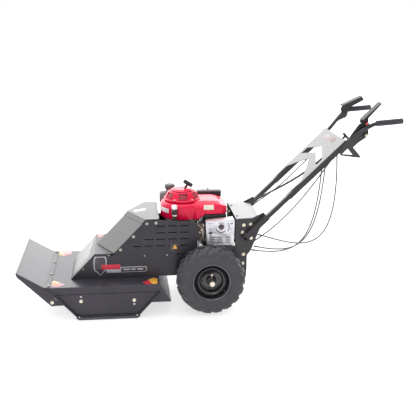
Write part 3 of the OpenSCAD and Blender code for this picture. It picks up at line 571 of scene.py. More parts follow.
def make_rim(side):
    centre = WHEELS[side]
    out = -1 if side == "left" else 1
    axis = (0, out, 0)
    lip = [(97.5, 50), (98.5, 56), (101, 60.5), (103.5, 63.6), (106.4, 65.3), (108.8, 65.2),
           (109.9, 63.6), (109.4, 61.8), (106.6, 61.0), (103.2, 58.5), (101.4, 54.5), (101.4, 50)]
    barrel_out = [(92, 34), (88, 29), (84, 26.5), (80, 25)]
    barrel = (lip[::-1][-1:] + [(96.5, 42)] + barrel_out + [(79, 15), (79, -18), (82, -24),
              (92, -34), (96.5, -42)] + [(r, -h) for r, h in lip]
              + [(101.4, -46), (97, -32), (86, -20), (83, -14), (83, 12), (86, 20), (97, 32),
                 (101.4, 46)] + lip[::-1][:-1])
    disc = [(80.5, 20), (80, 25), (78.6, 30), (76.6, 33.4), (74, 34.2), (71.5, 32.6), (69.6, 28),
            (66, 21), (58, 15.5), (46, 12), (35, 11.5), (29, 13.5), (25.5, 18), (23.4, 26),
            (22.4, 42), (22, 60), (21.2, 66.5), (19.6, 69.4), (16, 70), (16, 66), (14, 60),
            (14, -60), (16, -69), (19, -70), (20.5, -66), (21, -30), (23, 0), (28, 6), (46, 7.5),
            (60, 10.5), (70, 16)]
    parts = [lathe(barrel, centre, axis, 128, closed=True),
             lathe(disc, centre, axis, 128, closed=True)]
    obj = piece(side + "_rim_shell", *merge(*parts), side + "_wheel", "gloss_black",
                replaces=[side + "_rim"])
    fix_normals(obj)
    smooth_by_angle(obj, 40)

    trim = []
    root = wheel_point(centre, out, 89, 26, -36)
    stem_axis = Vector((0.10, out, -0.06)).normalized()
    trim.append(lathe([(0, -6), (7.5, -6), (7.8, 0), (5.6, 4), (4.4, 9), (4.2, 20), (3.4, 21),
                       (3.4, 25), (4.4, 26), (4.4, 33), (3.6, 34), (0, 34)],
                      root, stem_axis, 20))
    valve = piece(side + "_valve", *merge(*trim), side + "_wheel", "black_plastic")
    fix_normals(valve)
    smooth_by_angle(valve, 40)

    pin_h = 61.5
    top = wheel_point(centre, out, 47, pin_h, 90)
    base = wheel_point(centre, out, 10, pin_h, 90)
    ring = [wheel_point(centre, out, 27.5 + 4 * math.sin(math.radians(t)) ** 2,
                        pin_h + 5.5 * math.cos(math.radians(t)), 90 + t)
            for t in range(0, 181, 12)]
    stem = sweep([base, top], 4.2, 20)
    loop = piece(side + "_lynch_pin", *merge(stem, sweep(spline(ring, 3), 1.9, 10)),
                 side + "_wheel", "zinc", finish="boss_brown")
    fix_normals(loop)
    smooth_by_angle(loop, 40)
    ball = lathe([(0, -6), (5, -5.4), (7.2, -2.6), (7.8, 0), (7.2, 2.6), (5, 5.4), (0, 6)],
                 top, (0, 0, 1), 24)
    end = lathe([(0.3, 65), (13, 65), (13.4, 66), (13.4, 69), (12.2, 70.6), (7, 71.2), (4, 70.6),
                 (0.3, 70.4)], centre, axis, 40)
    bright = piece(side + "_pin_head", *merge(ball, end), side + "_wheel", "zinc")
    fix_normals(bright)
    smooth_by_angle(bright, 40)
    # Thin light grey rings at the rim's lip and at the disc's edge: painted highlight lines.
    rings = []
    for r, h in ((108.4, 65.6), (75.0, 34.4)):
        path = [wheel_point(centre, out, r, h, t) for t in range(0, 361, 4)]
        rings.append(sweep(path, 0.9, 8, caps=False))
    line = piece(side + "_rim_line", *merge(*rings), side + "_wheel", "gloss_black",
                 finish="rim_line")
    fix_normals(line)


# ---------------------------------------------------------------- engine cowl

def cowl_outline(count=216):
    """Points of the cowl seen from above, anticlockwise, evenly spaced, with outward normals."""
    r = (SHROUD_HIGH.y - SHROUD_LOW.y) / 2
    rear = SHROUD_HIGH.x
    half, corner = 120.0, 46.0
    meet = math.degrees(math.asin(half / r))
    raw = []
    for i in range(121):
        a = math.radians(meet + (360 - 2 * meet) * i / 120)
        raw.append(Vector((CRANK.x + r * math.cos(a), r * math.sin(a))))
    for side in (-1, 1):
        for k in range(0, 91, 6):
            a = math.radians(-90 + k if side < 0 else k)
            raw.append(Vector((rear - corner + corner * math.cos(a),
                               side * (half - corner) + corner * math.sin(a))))
    dense = raw + [raw[0]]
    lengths = [0.0]
    for a, b in zip(dense, dense[1:]):
        lengths.append(lengths[-1] + (b - a).length)
    out, j = [], 0
    for i in range(count):
        target = lengths[-1] * i / count
        while lengths[j + 1] < target:
            j += 1
        f = (target - lengths[j]) / max(lengths[j + 1] - lengths[j], 1e-9)
        out.append(dense[j].lerp(dense[j + 1], f))
    for _ in range(3):
        out = [(out[i - 1] + out[i] * 2 + out[(i + 1) % count]) / 4 for i in range(count)]
    normals = []
    for i in range(count):
        t = (out[(i + 1) % count] - out[i - 1]).normalized()
        normals.append(Vector((t.y, -t.x)))
    return out, normals


def cowl_bottom(x):
    return SHROUD_LOW.z + 30 * min(max((x + 62) / 46, 0.0), 1.0)


def cowl_height(x, z_share):
    """Height over the ground: z_share 0 is the cowl's lower edge, 1 its top."""
    bottom = cowl_bottom(x)
    drop = 20 * max((x - 10) / 110, 0.0) ** 2
    return bottom + (SHROUD_HIGH.z - drop - bottom) * z_share


def cowl_point(p, n, inset, z_share, gather=0.0):
    """A point of the cowl; gather draws it in to the line from the crank to the rear."""
    z = cowl_height(p.x, z_share)
    bulge = 0.0
    if p.y < 0 and z < 606:
        fade = min(max((604 - z) / 22, 0.0), 1.0)
        bulge = 9.5 * fade * (math.exp(-((p.x + 64) / 11) ** 2) + math.exp(-((p.x + 36) / 10) ** 2))
        bulge -= 2.5 * fade * (math.exp(-((p.x + 92) / 9) ** 2) + math.exp(-((p.x + 10) / 9) ** 2))
    x, y = p.x + n.x * (bulge - inset), p.y + n.y * (bulge - inset)
    if gather > 0:
        x += (min(max(p.x, CRANK.x), 62) - x) * gather
        y *= 1 - gather
        z = cowl_height(x, z_share)
    return Vector((x, y, z))


COWL_SKIN = [(1.5, 0.0), (0.0, 0.015), (0.0, 0.06), (0.0, 0.14), (0.0, 0.24), (0.0, 0.34),
             (0.0, 0.44), (0.0, 0.54), (0.3, 0.64), (0.9, 0.72), (2.2, 0.79), (5.2, 0.84),
             (9.5, 0.87), (18, 0.905), (29, 0.935), (33, 0.955), (36, 0.98), (42, 0.995)]


def make_cowl():
    outline, normals = cowl_outline()
    count = len(outline)
    levels = [(inset, share, 0.0) for inset, share in COWL_SKIN]
    levels += [(42, 1.0, f) for f in (0.25, 0.5, 0.75, 1.0)]
    levels += [(46, 0.965, f) for f in (1.0, 0.75, 0.5, 0.25)]
    levels += [(inset, share, 0.0) for inset, share in
               ((44, 0.96), (36, 0.93), (20, 0.87), (8, 0.82), (4.5, 0.74), (3.4, 0.6),
                (3.2, 0.3), (3.2, 0.0))]
    verts, faces = [], []
    for inset, share, gather in levels:
        verts += [cowl_point(p, n, inset, share, gather) for p, n in zip(outline, normals)]
    total = len(levels)
    for k in range(total - 1):
        if levels[k][2] == levels[k + 1][2] == 1.0:
            continue
        for i in range(count):
            n = (i + 1) % count
            faces.append((k * count + i, k * count + n, (k + 1) * count + n, (k + 1) * count + i))
    for i in range(count):
        n = (i + 1) % count
        faces.append(((total - 1) * count + i, (total - 1) * count + n, n, i))
    obj = piece("engine_cowl", verts, faces, "root", "engine_red", replaces=["engine_shroud"])
    weld(obj, 0.05)
    fix_normals(obj)
    smooth_by_angle(obj, 60)


def cowl_inset(share):
    for (i0, s0), (i1, s1) in zip(COWL_SKIN, COWL_SKIN[1:]):
        if share <= s1:
            return i0 + (i1 - i0) * (share - s0) / (s1 - s0)
    return COWL_SKIN[-1][0]


def cowl_sticker(name, wanted, z_low, z_high, finish):
    """A blank sticker that follows the cowl's side where wanted(point) holds."""
    outline, normals = cowl_outline(864)
    picked = [(p, n) for p, n in zip(outline, normals) if wanted(p)]
    rows = 9
    verts, faces = [], []
    for k in range(rows):
        z = z_low + (z_high - z_low) * k / (rows - 1)
        for p, n in picked:
            share = (z - cowl_height(p.x, 0)) / (cowl_height(p.x, 1) - cowl_height(p.x, 0))
            verts.append(cowl_point(p, n, cowl_inset(share) - 0.55, share))
    count = len(picked)
    for k in range(rows - 1):
        for i in range(count - 1):
            faces.append((k * count + i, k * count + i + 1, (k + 1) * count + i + 1,
                          (k + 1) * count + i))
    obj = piece(name, verts, faces, "root", "grey_plastic", finish=finish)
    fix_normals(obj)
    wall = obj.modifiers.new("wall", "SOLIDIFY")
    wall.thickness = 0.4 * MM


def make_cowl_labels():
    cowl_sticker("cowl_label_cream", lambda p: -25 < p.x < 36 and p.y < -90, 577, 607,
                 "label_cream")
    cowl_sticker("cowl_label_white",
                 lambda p: 193 < math.degrees(math.atan2(p.y, p.x - CRANK.x)) % 360 < 228.6,
                 556, 583, "label_white")


DOME_PROFILE = [(111, 0), (110.5, 3), (108, 7), (104.5, 9.5), (101.5, 11), (99, 16), (96.2, 22),
                (93.2, 28), (90, 34), (86.6, 39.5), (82.6, 44.6), (78, 49), (73, 52.4),
                (67.5, 55.2), (61, 57.6), (53, 59.6), (46, 60.8), (43.6, 62.0), (38, 62.0),
                (34.5, 60.9), (20, 60.7), (8, 60.7), (0.5, 60.7)]
WINDOW_AT = [-89.5 + 60 * i for i in range(6)]


def dome_open(angle, row):
    """Whether a face of the starter dome is left out, as an air opening."""
    for centre in WINDOW_AT:
        off = (angle - centre + 180) % 360 - 180
        if 4 <= row <= 9 and abs(off) < 17.5:
            return True
    return row == 12 and int(round(angle / 2.5)) % 2 == 0


def make_dome():
    base = Vector((CRANK.x, CRANK.y, low("starter_cover").z))
    columns = 144
    verts, faces = [], []
    for s in range(columns):
        a = math.radians(2.5 * s)
        verts += [base + Vector((r * math.cos(a), r * math.sin(a), h)) for r, h in DOME_PROFILE]
    rows = len(DOME_PROFILE)
    for s in range(columns):
        for k in range(rows - 1):
            if not dome_open(2.5 * s + 1.25, k):
                n = (s + 1) % columns
                faces.append((s * rows + k, n * rows + k, n * rows + k + 1, s * rows + k + 1))
    obj = piece("starter_dome", verts, faces, "root", "engine_red", replaces=["starter_cover"])
    bm = bmesh.new()
    bm.from_mesh(obj.data)
    bmesh.ops.remove_doubles(bm, verts=bm.verts, dist=0.0002)
    bm.to_mesh(obj.data)
    bm.free()
    fix_normals(obj)
    shell = obj.modifiers.new("wall", "SOLIDIFY")
    shell.thickness = 3.2 * MM
    shell.offset = -1
    edge = obj.modifiers.new("bevel", "BEVEL")
    edge.width = 0.9 * MM
    edge.segments = 2
    edge.angle_limit = math.radians(50)

    screen_profile = [(97, 4), (93, 14), (86, 26), (78.5, 37), (70, 46), (58, 52), (40, 55),
                      (1, 55.6), (1, 54), (39, 53), (57, 50), (68.5, 44.5), (77, 36), (84.5, 25),
                      (91.5, 13), (95, 4)]
    screen = piece("starter_screen", *lathe(screen_profile, base, (0, 0, 1), 96, closed=True),
                   "root", "dark_steel")
    fix_normals(screen)
    bars = []
    for centre in WINDOW_AT:
        for r, h in ((99.4, 15), (93.2, 23.5), (87.4, 32)):
            path = [base + Vector((r * math.cos(math.radians(centre + t)),
                                   r * math.sin(math.radians(centre + t)), h))
                    for t in range(-18, 19, 4)]
            bars.append(sweep(path, 1.6, 8))
        for t in (-9, 0, 9):
            a = math.radians(centre + t)
            bars.append(sweep([base + Vector((r * math.cos(a), r * math.sin(a), h))
                               for r, h in ((101.5, 11), (93.2, 23.5), (82, 40))], 1.3, 8))
    grille = piece("starter_grille", *merge(*bars), "root", "engine_red")
    fix_normals(grille)
    screws = []
    for centre in WINDOW_AT:
        a = math.radians(centre + 30)
        screws.append(hex_bolt(base + Vector((103.5 * math.cos(a), 103.5 * math.sin(a), 10)),
                               (0, 0, 1), 9, 4.5, 1.0, 7 * centre))
    studs = piece("starter_screws", *merge(*screws), "root", "zinc")
    fix_normals(studs)
    smooth_by_angle(studs, 30)




# ---------------------------------------------------------------- sheet metal helper

def cut_plate(name, outline, holes, place, thickness, edge, body, slot, **extra):
    """A flat plate with holes; place is a 4x4 matrix from plate space (mm) to the frame (mm)."""
    curve = bpy.data.curves.new(name, "CURVE")
    curve.dimensions = "2D"
    curve.fill_mode = "BOTH"
    curve.extrude = max(thickness / 2 - edge, 0.01)
    curve.bevel_depth = edge
    curve.bevel_resolution = 1
    for ring in [outline] + list(holes):
        spline_item = curve.splines.new("POLY")
        spline_item.points.add(len(ring) - 1)
        for point, xy in zip(spline_item.points, ring):
            point.co = (xy[0], xy[1], 0, 1)
        spline_item.use_cyclic_u = True
    holder = bpy.data.objects.new(name + "_curve", curve)
    bpy.context.scene.collection.objects.link(holder)
    graph = bpy.context.evaluated_depsgraph_get()
    mesh = bpy.data.meshes.new_from_object(holder.evaluated_get(graph))
    verts = [place @ v.co for v in mesh.vertices]
    faces = [tuple(p.vertices) for p in mesh.polygons]
    bpy.data.objects.remove(holder)
    bpy.data.curves.remove(curve)
    bpy.data.meshes.remove(mesh)
    obj = piece(name, verts, faces, body, slot, **extra)
    weld(obj, 0.01)
    fix_normals(obj)
    smooth_by_angle(obj, 35)
    return obj


def weld(obj, distance):
    bm = bmesh.new()
    bm.from_mesh(obj.data)
    bmesh.ops.remove_doubles(bm, verts=bm.verts, dist=distance * MM)
    bm.to_mesh(obj.data)
    bm.free()


def ring_points(x, y, r, count=20, squeeze=1.0):
    return [(x + r * math.cos(2 * math.pi * i / count),
             y + r * squeeze * math.sin(2 * math.pi * i / count)) for i in range(count)]


def slot_points(x0, x1, y0, y1):
    return [tuple(p) for p in round_corners([(x0, y0), (x1, y0), (x1, y1), (x0, y1)],
                                            min(x1 - x0, y1 - y0) * 0.48, 4)]


def facing_left(y):
    """Plate space (x, z) at depth y, its front towards the machine's left."""
    return Matrix(((1, 0, 0, 0), (0, 0, -1, y), (0, 1, 0, 0), (0, 0, 0, 1)))


def lofted_box(low_corner, high_corner, radius, steps=5, z_radius=None):
    """A box with rounded upright edges and rounded top and bottom edges."""
    z_radius = radius if z_radius is None else z_radius
    lo, hi = Vector(low_corner), Vector(high_corner)
    levels = []
    for k in range(steps + 1):
        a = math.pi / 2 * k / steps
        levels.append((z_radius * (1 - math.sin(a)), lo.z + z_radius * (1 - math.cos(a))))
    levels += [(inset, lo.z + hi.z - z) for inset, z in reversed(levels)]
    verts, faces = [], []
    for inset, z in levels:
        corners = [(lo.x + inset, lo.y + inset), (hi.x - inset, lo.y + inset),
                   (hi.x - inset, hi.y - inset), (lo.x + inset, hi.y - inset)]
        ring = round_corners(corners, max(radius - inset * 0.6, 0.5), 5)
        verts += [Vector((p.x, p.y, z)) for p in ring]
    count = len(ring)
    for k in range(len(levels) - 1):
        for i in range(count):
            n = (i + 1) % count
            faces.append((k * count + i, k * count + n, (k + 1) * count + n, (k + 1) * count + i))
    faces.append(tuple(reversed(range(count))))
    faces.append(tuple(range((len(levels) - 1) * count, len(levels) * count)))
    return verts, faces


def hex_bolt(face_at, axis, across, height, washer=0.0, turn=0.0):
    """Hexagon head with a chamfered top standing on face_at, with an optional washer."""
    axis = Vector(axis).normalized()
    u, v = axis_frame(axis)
    face_at = Vector(face_at)
    corner = across / 2 / math.cos(math.pi / 6)
    verts, faces = [], []
    rows = [(1.0, 0.0), (1.0, height * 0.78), (0.93, height * 0.93), (0.80, height)]
    base = washer
    for share, h in rows:
        for i in range(12):
            a = math.radians(30 * i + turn)
            r = corner if i % 2 == 0 else across / 2
            r = r if share == 1.0 else min(r, corner * share)
            verts.append(face_at + (u * math.cos(a) + v * math.sin(a)) * r + axis * (h + base))
    for k in range(len(rows) - 1):
        for i in range(12):
            n = (i + 1) % 12
            faces.append((k * 12 + i, k * 12 + n, (k + 1) * 12 + n, (k + 1) * 12 + i))
    faces += [tuple(reversed(range(12))), tuple(range(36, 48))]
    parts = [(verts, faces)]
    if washer > 0:
        parts.append(lathe([(0, 0), (across * 0.66, 0), (across * 0.68, washer * 0.4),
                            (across * 0.65, washer), (0, washer)], face_at, axis, 28))
    return merge(*parts)


def pan_head(face_at, axis, r, h):
    """Low domed screw head."""
    return lathe([(0, 0), (r, 0), (r, h * 0.35), (r * 0.9, h * 0.72), (r * 0.62, h * 0.95),
                  (r * 0.3, h), (r * 0.28, h * 0.72), (0, h * 0.7)], face_at, axis, 24)


# ---------------------------------------------------------------- engine details

def make_starter_grip():
    lean = math.radians(32)
    up = Vector((math.sin(lean), 0, math.cos(lean)))
    along = Vector((math.cos(lean), 0, -math.sin(lean)))
    foot = Vector((CRANK.x + 21, CRANK.y, 687.6))
    hub = foot + up * 30
    handle = lathe([(0, -31), (6, -30.6), (10.2, -28.6), (12.2, -24.5), (12.6, -18),
                    (11.8, -12), (12.4, -7), (12.8, 0), (12.4, 7), (11.8, 12), (12.6, 18),
                    (12.2, 24.5), (10.2, 28.6), (6, 30.6), (0, 31)], hub, along, 40)
    stem = lathe([(0, 0), (6.4, 0), (7.2, 1.5), (7.2, 6), (6.6, 9), (6.8, 14), (8, 18),
                  (10, 24), (10, 30), (0, 30)], foot, up, 32)
    obj = piece("pull_handle", *merge(handle, stem), "pull_grip", "black_plastic",
                replaces=["starter_grip"], finish="lever_black")
    fix_normals(obj)
    rope_start = Vector((CRANK.x + 18, CRANK.y, 662))
    exit_at = Vector((CRANK.x + 18.6, CRANK.y, 683))
    path = [rope_start, rope_start + Vector((0, 0, 12)), exit_at]
    path += [exit_at.lerp(foot + up * 2, k / 40) for k in range(1, 41)]
    rope = piece("starter_rope", *sweep(path, 2.2, 10), None, "grip_rubber")
    fix_normals(rope)
    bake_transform(rope)
    bush = lathe([(2.6, -2), (7, -2), (7, 0.5), (6, 1.8), (4, 2.2), (2.8, 1.2)],
                 (CRANK.x + 18, CRANK.y, high("starter_cover").z), (0, 0, 1), 28, closed=True)
    collar = piece("rope_bushing", *bush, "root", "black_plastic")
    fix_normals(collar)


def make_fuel_parts():
    tank_low, tank_high = low("fuel_tank"), high("fuel_tank")
    shoulder = tank_high.z - 29
    body = lofted_box((tank_low.x, tank_low.y, tank_low.z), (tank_high.x, tank_high.y, shoulder),
                      22, 6, 16)
    neck = lathe([(24.6, shoulder - 8), (25, shoulder - 2), (23.4, shoulder + 2),
                  (23, shoulder + 10), (24.8, shoulder + 12), (24.8, tank_high.z - 1),
                  (23.8, tank_high.z), (21, tank_high.z), (21, shoulder - 8)],
                 (CAP.x, CAP.y, 0), (0, 0, 1), 48, closed=True)
    seam = lofted_box((tank_low.x - 0.0, tank_low.y - 0.0, tank_low.z + 40),
                      (tank_high.x, tank_high.y, tank_low.z + 45), 22, 2, 1.5)
    tank = piece("tank_moulding", *merge(body, neck, seam), "root", "black_plastic",
                 replaces=["fuel_tank"], finish="tank_grey")
    fix_normals(tank)
    smooth_by_angle(tank, 42)

    segments, verts, faces = 120, [], []
    profile = [(25.6, 1), (28, 0), (31, 1.4), (33, 6), (33.6, 12), (33.4, 17), (32, 21.5),
               (29, 25.2), (24.5, 27.8), (19.5, 29.2), (17, 28.2), (14, 28.6), (0.4, 29.4)]
    for s in range(segments):
        a = 2 * math.pi * s / segments
        for k, (r, h) in enumerate(profile):
            grip = 1 - 0.035 * abs(math.cos(6 * a)) ** 6 if 1 <= k <= 8 else 1
            verts.append(Vector((CAP.x + r * grip * math.cos(a), CAP.y + r * grip * math.sin(a),
                                 CAP_LOW.z + h)))
    rows = len(profile)
    for s in range(segments):
        n = (s + 1) % segments
        for k in range(rows - 1):
            faces.append((s * rows + k, n * rows + k, n * rows + k + 1, s * rows + k + 1))
    cap = piece("tank_cap_moulding", verts, faces, "tank_cap", "grey_plastic",
                replaces=["fuel_cap"], finish="cap_grey")
    weld(cap, 0.5)
    fix_normals(cap)
    lid = cap.modifiers.new("wall", "SOLIDIFY")
    lid.thickness = 2.0 * MM
    lid.offset = -1


def make_air_cleaner():
    lo, hi = low("air_cleaner"), high("air_cleaner")
    y0 = hi.y - 61
    box = lofted_box((lo.x + 2, y0 + 1.5, 592), (hi.x - 2, hi.y - 1, 619), 12, 4, 4)
    rim = lofted_box((lo.x, y0, 617), (hi.x, hi.y, 623), 14, 3, 2)
    lid = lofted_box((lo.x + 1.5, y0 + 1.5, 622), (hi.x - 1.5, hi.y - 1.5, hi.z), 13, 6, 8)
    pad = lofted_box((lo.x + 22, y0 + 16, hi.z - 3), (hi.x - 22, hi.y - 16, hi.z + 0.6), 8, 3, 1.2)
    parts = [box, rim]
    for i in range(11):
        x = lo.x + 14 + i * 12
        parts.append(lofted_box((x, y0 - 0.6, 596), (x + 3, y0 + 3, 616), 1, 2, 0.8))
    cleaner = piece("air_box", *merge(*parts), "root", "black_plastic", replaces=["air_cleaner"])
    fix_normals(cleaner)
    smooth_by_angle(cleaner, 42)
    cover = piece("air_box_lid", *merge(lid, pad), "root", "black_plastic", finish="lid_grey")
    fix_normals(cover)
    smooth_by_angle(cover, 42)
    knob = lathe([(0, 0), (6.5, 0), (7, 1.5), (5, 2.6), (4.6, 3.6), (6.4, 4.6), (5.8, 6.2),
                  (0, 6.6)], (lo.x + 70, (y0 + hi.y) / 2, hi.z - 1), (0, 0, 1), 24)
    wing = piece("air_box_knob", *knob, "root", "black_plastic")
    fix_normals(wing)
    smooth_by_angle(wing, 40)
    neck = piece("air_box_neck", *lathe([(14, 586), (14.5, 588), (14.5, 594), (9, 594), (9, 586)],
                                        (85, 157, 0), (0, 0, 1), 32, closed=True),
                 "root", "black_plastic")
    fix_normals(neck)

    duct_low, duct_high = Vector((-22, -118, 499)), Vector((113, 118, 547))
    duct = [lofted_box(duct_low, duct_high, 14, 4, 6)]
    for i in range(9):
        x = duct_low.x + 14 + i * 14
        duct.append(lofted_box((x, duct_low.y - 1.6, 506), (x + 4, duct_low.y + 3, 541), 1.2, 2, 1))
    tin = piece("cooling_duct", *merge(*duct), "root", "black_plastic")
    fix_normals(tin)
    smooth_by_angle(tin, 42)


def make_muffler_shield():
    lo, hi = low("muffler_shield"), high("muffler_shield")
    x0, x1, y0, z0, z1 = lo.x, hi.x, lo.y, lo.z, hi.z
    corners = [(x0, z1 - 15), (x1 - 1, z1 - 1), (x1, z1 - 24), (x1 - 4, z0), (x0 + 9, z0)]
    outline = round_corners(corners, [13, 12, 10, 9, 9], 6)
    holes = [ring_points(x0 + 27, z0 + 76, 9.5, 28, 0.58),
             ring_points(x0 + 92, z0 + 112, 5.8, 28),
             slot_points(x1 - 19, x1 - 10, z0 + 128, z0 + 133),
             slot_points(x1 - 30, x1 - 12, z0 + 96, z0 + 99.5)]
    for group in (0, 1, 2):
        for row in range(4):
            start = x0 + 18 + group * 50
            holes.append(slot_points(start, start + 33 - 3 * group, z0 + 12 + row * 10,
                                     z0 + 16.5 + row * 10))
    depth = hi.y - y0
    front = facing_left(y0 + 1.4)
    cut_plate("muffler_guard_face", [tuple(p) for p in outline], holes, front, 1.8, 0.5, "root",
              "silver_sheet", replaces=["muffler_shield"])
    centre = Vector(((x0 + x1) / 2, (z0 + z1) / 2))
    inset_rows = [(4.5, 0.5), (2.2, 0.7), (0.8, 2.0), (0.0, 4.6), (0.0, depth)]
    back_rows = [(1.6, depth), (1.6, 5.0), (2.8, 3.0), (4.5, 2.3)]
    verts, faces = [], []
    for inset, down in inset_rows + back_rows:
        for p in outline:
            away = (p - centre)
            pull = Vector((math.copysign(min(abs(away.x), inset), away.x),
                           math.copysign(min(abs(away.y), inset), away.y)))
            q = p - pull
            verts.append(Vector((q.x, y0 + down, q.y)))
    count = len(outline)
    rows = len(inset_rows + back_rows)
    for k in range(rows):
        for i in range(count):
            n = (i + 1) % count
            k2 = (k + 1) % rows
            faces.append((k * count + i, k * count + n, k2 * count + n, k2 * count + i))
    wrap = piece("muffler_guard_wrap", verts, faces, "root", "silver_sheet")
    fix_normals(wrap)
    smooth_by_angle(wrap, 50)

    # The boss and the press arcs below are pressings of the silver sheet coloured dark brown:
    # painted shade in the dimple round the nut and along the arcs. The short strokes in the arc
    # piece are dark too.
    hub = Vector((x0 + 92, y0 + 0.6, z0 + 112))
    boss = merge(lathe([(5.5, 2), (6.5, -1.0), (10, -3.2), (14, -3.4), (16.6, -2.2), (18, 1),
                        (5.5, 2.4)], hub, (0, 1, 0), 40, closed=True))
    ring = piece("muffler_guard_boss", *boss, "root", "silver_sheet", finish="boss_brown")
    fix_normals(ring)
    nut = piece("muffler_guard_nut", *hex_bolt(hub + Vector((0, 3, 0)), (0, -1, 0), 12, 5, 1.2),
                "root", "dark_steel")
    fix_normals(nut)
    smooth_by_angle(nut, 30)
    arcs = []
    for radius, start, end in ((33, 196, 322), (34.5, 205, 300), (46, -38, 30), (25, 60, 130)):
        path = [hub + Vector((radius * math.cos(math.radians(t)), 0.2,
                              radius * math.sin(math.radians(t)))) for t in range(start, end, 6)]
        arcs.append(sweep(path, 2.4, 8))
    for x, z, w in ((16, 134, 8), (28, 134, 10), (20, 100, 14), (120, 52, 16)):
        a = Vector((x0 + x, y0 + 0.2, z0 + z))
        arcs.append(sweep([a, a + Vector((w / 2, 0, 0.6)), a + Vector((w, 0, 0))], 1.5, 8))
    press = piece("muffler_guard_pressing", *merge(*arcs), "root", "silver_sheet",
                  finish="boss_brown")
    fix_normals(press)
    screws = []
    for x, z in ((x0 + 30, z0 + 60), (x1 - 16, z1 - 30)):
        screws.append(hex_bolt((x, y0 + 0.5, z), (0, -1, 0), 7, 2.6, 0.8))
    obj = piece("muffler_guard_screws", *merge(*screws), "root", "zinc", finish="boss_brown")
    fix_normals(obj)
    smooth_by_angle(obj, 30)
    lip = merge(lofted_box((x0 + 11, y0 - 0.9, z0 - 1.0), (x1 - 6, y0 + 8, z0 + 3.6), 2, 3, 1.2))
    hem = piece("muffler_guard_hem", *lip, "root", "silver_sheet")
    fix_normals(hem)
    # A dark strip above the hem and a dark ring round the oval port: painted shade.
    shade = lofted_box((x0 + 13, y0 - 0.3, z0 + 4.6), (x1 - 8, y0 + 3, z0 + 6.8), 0.9, 2, 0.9)
    port = [(x0 + 27 + 10 * math.cos(t * math.pi / 10), 0, z0 + 76 + 6 * math.sin(t * math.pi / 10))
            for t in range(21)]
    rim = sweep([(x, y0 - 0.2, z) for x, _, z in port], 1.8, 8)
    marks = piece("muffler_guard_marks", *merge(shade, rim), "root", "silver_sheet",
                  finish="boss_brown")
    fix_normals(marks)


def make_oil_filler():
    lo, hi = low("dipstick"), high("dipstick")
    at = (lo + hi) / 2
    x, y = at.x, at.y
    sleeve = lathe([(10.2, 500), (12.6, 500), (12.6, 520), (14.5, 522), (14.5, 536), (12.8, 538),
                    (12.8, 560), (16.5, 566), (17, 584), (15, 590), (12.6, 593.5), (10.2, 593.5)],
                   (x, y, 0), (0, 0, 1), 36, closed=True)
    tube = piece("filler_sleeve", *sleeve, "root", "black_plastic")
    fix_normals(tube)
    smooth_by_angle(tube, 42)
    band = piece("filler_band", *lathe([(12.9, 553), (14.4, 554), (14.5, 565), (13, 566)],
                                       (x, y, 0), (0, 0, 1), 36, closed=True),
                 "root", "grey_plastic", finish="label_cream")
    fix_normals(band)
    verts, faces = [], []
    profile = [(10.5, hi.z - 24), (14, hi.z - 24), (16.6, hi.z - 23), (17.3, hi.z - 19),
               (17.3, hi.z - 7), (16.2, hi.z - 3), (13, hi.z - 0.8), (8, hi.z - 0.2), (0.4, hi.z)]
    segments = 72
    for s in range(segments):
        a = 2 * math.pi * s / segments
        for k, (r, h) in enumerate(profile):
            grip = 1 - 0.06 * abs(math.cos(3 * a)) ** 3 if 2 <= k <= 6 else 1
            verts.append(Vector((x + r * grip * math.cos(a), y + r * grip * math.sin(a), h)))
    rows = len(profile)
    for s in range(segments):
        n = (s + 1) % segments
        for k in range(rows - 1):
            faces.append((s * rows + k, n * rows + k, n * rows + k + 1, s * rows + k + 1))
    faces.append(tuple(s * rows for s in range(segments)))
    rod = sweep([(x, y, hi.z - 22), (x, y, hi.z - 90), (x, y, lo.z + 1)], 2.4, 10)
    cap = piece("dipstick_cap", *merge((verts, faces), rod), "oil_dipstick", "grey_plastic",
                replaces=["dipstick"], finish="label_white")
    weld(cap, 0.5)
    fix_normals(cap)
    smooth_by_angle(cap, 42)


# ---------------------------------------------------------------- handle details

def open_corners(points, radius, steps=6):
    """Path with its inner corners rounded, ends kept."""
    pts = [Vector(p) for p in points]
    out = [pts[0]]
    for a, p, b in zip(pts, pts[1:], pts[2:]):
        cut = min(radius, (a - p).length * 0.45, (b - p).length * 0.45)
        start, end = p + (a - p).normalized() * cut, p + (b - p).normalized() * cut
        for s in range(steps + 1):
            t = s / steps
            out.append(start * (1 - t) ** 2 + p * 2 * t * (1 - t) + end * t * t)
    return out + [pts[-1]]


def solid(name, parts, body, slot, angle=40, **extra):
    """A piece from (verts, faces) pairs with clean normals and shading."""
    obj = piece(name, *merge(*parts), body, slot, **extra)
    fix_normals(obj)
    smooth_by_angle(obj, angle)
    return obj


GRIP_PATH = [(772, 203, 964), (812, 206, 1003), (895, 262, 1080), (935, 284, 1108),
             (1078, 284, 1119.7)]


def mirrored(points, side):
    return [(p[0], p[1] * side, p[2]) for p in points]


def make_grips():
    """Ribbed rubber sleeves with a flange at the inner end."""
    profile = [(11.2, 0), (15.2, 0), (16.4, 0.8), (16.5, 2.2), (16.4, 4.2), (15.4, 5.6)]
    for k in range(21):
        h = 7 + k * 6.2
        profile += [(15.3, h), (16.3, h + 0.8), (16.5, h + 2.2), (16.3, h + 3.8), (15.3, h + 4.6)]
    profile += [(15.2, 139.5), (16.2, 141.5), (16.5, 145), (16.2, 150), (14.6, 153.6),
                (11.4, 155.6), (6, 156), (0.5, 156), (0.5, 150), (11.2, 149)]
    base, tip = Vector(GRIP_PATH[3]), Vector(GRIP_PATH[4])
    along = (tip - base).normalized()
    start = base + along * (6.0 / along.x)
    parts = []
    for side in (-1, 1):
        centre = (start.x, start.y * side, start.z)
        parts.append(lathe(profile, centre, along, 48, closed=True))
    solid("grip_sleeves", parts, "root", "grip_rubber", 30, replaces=["grips"])


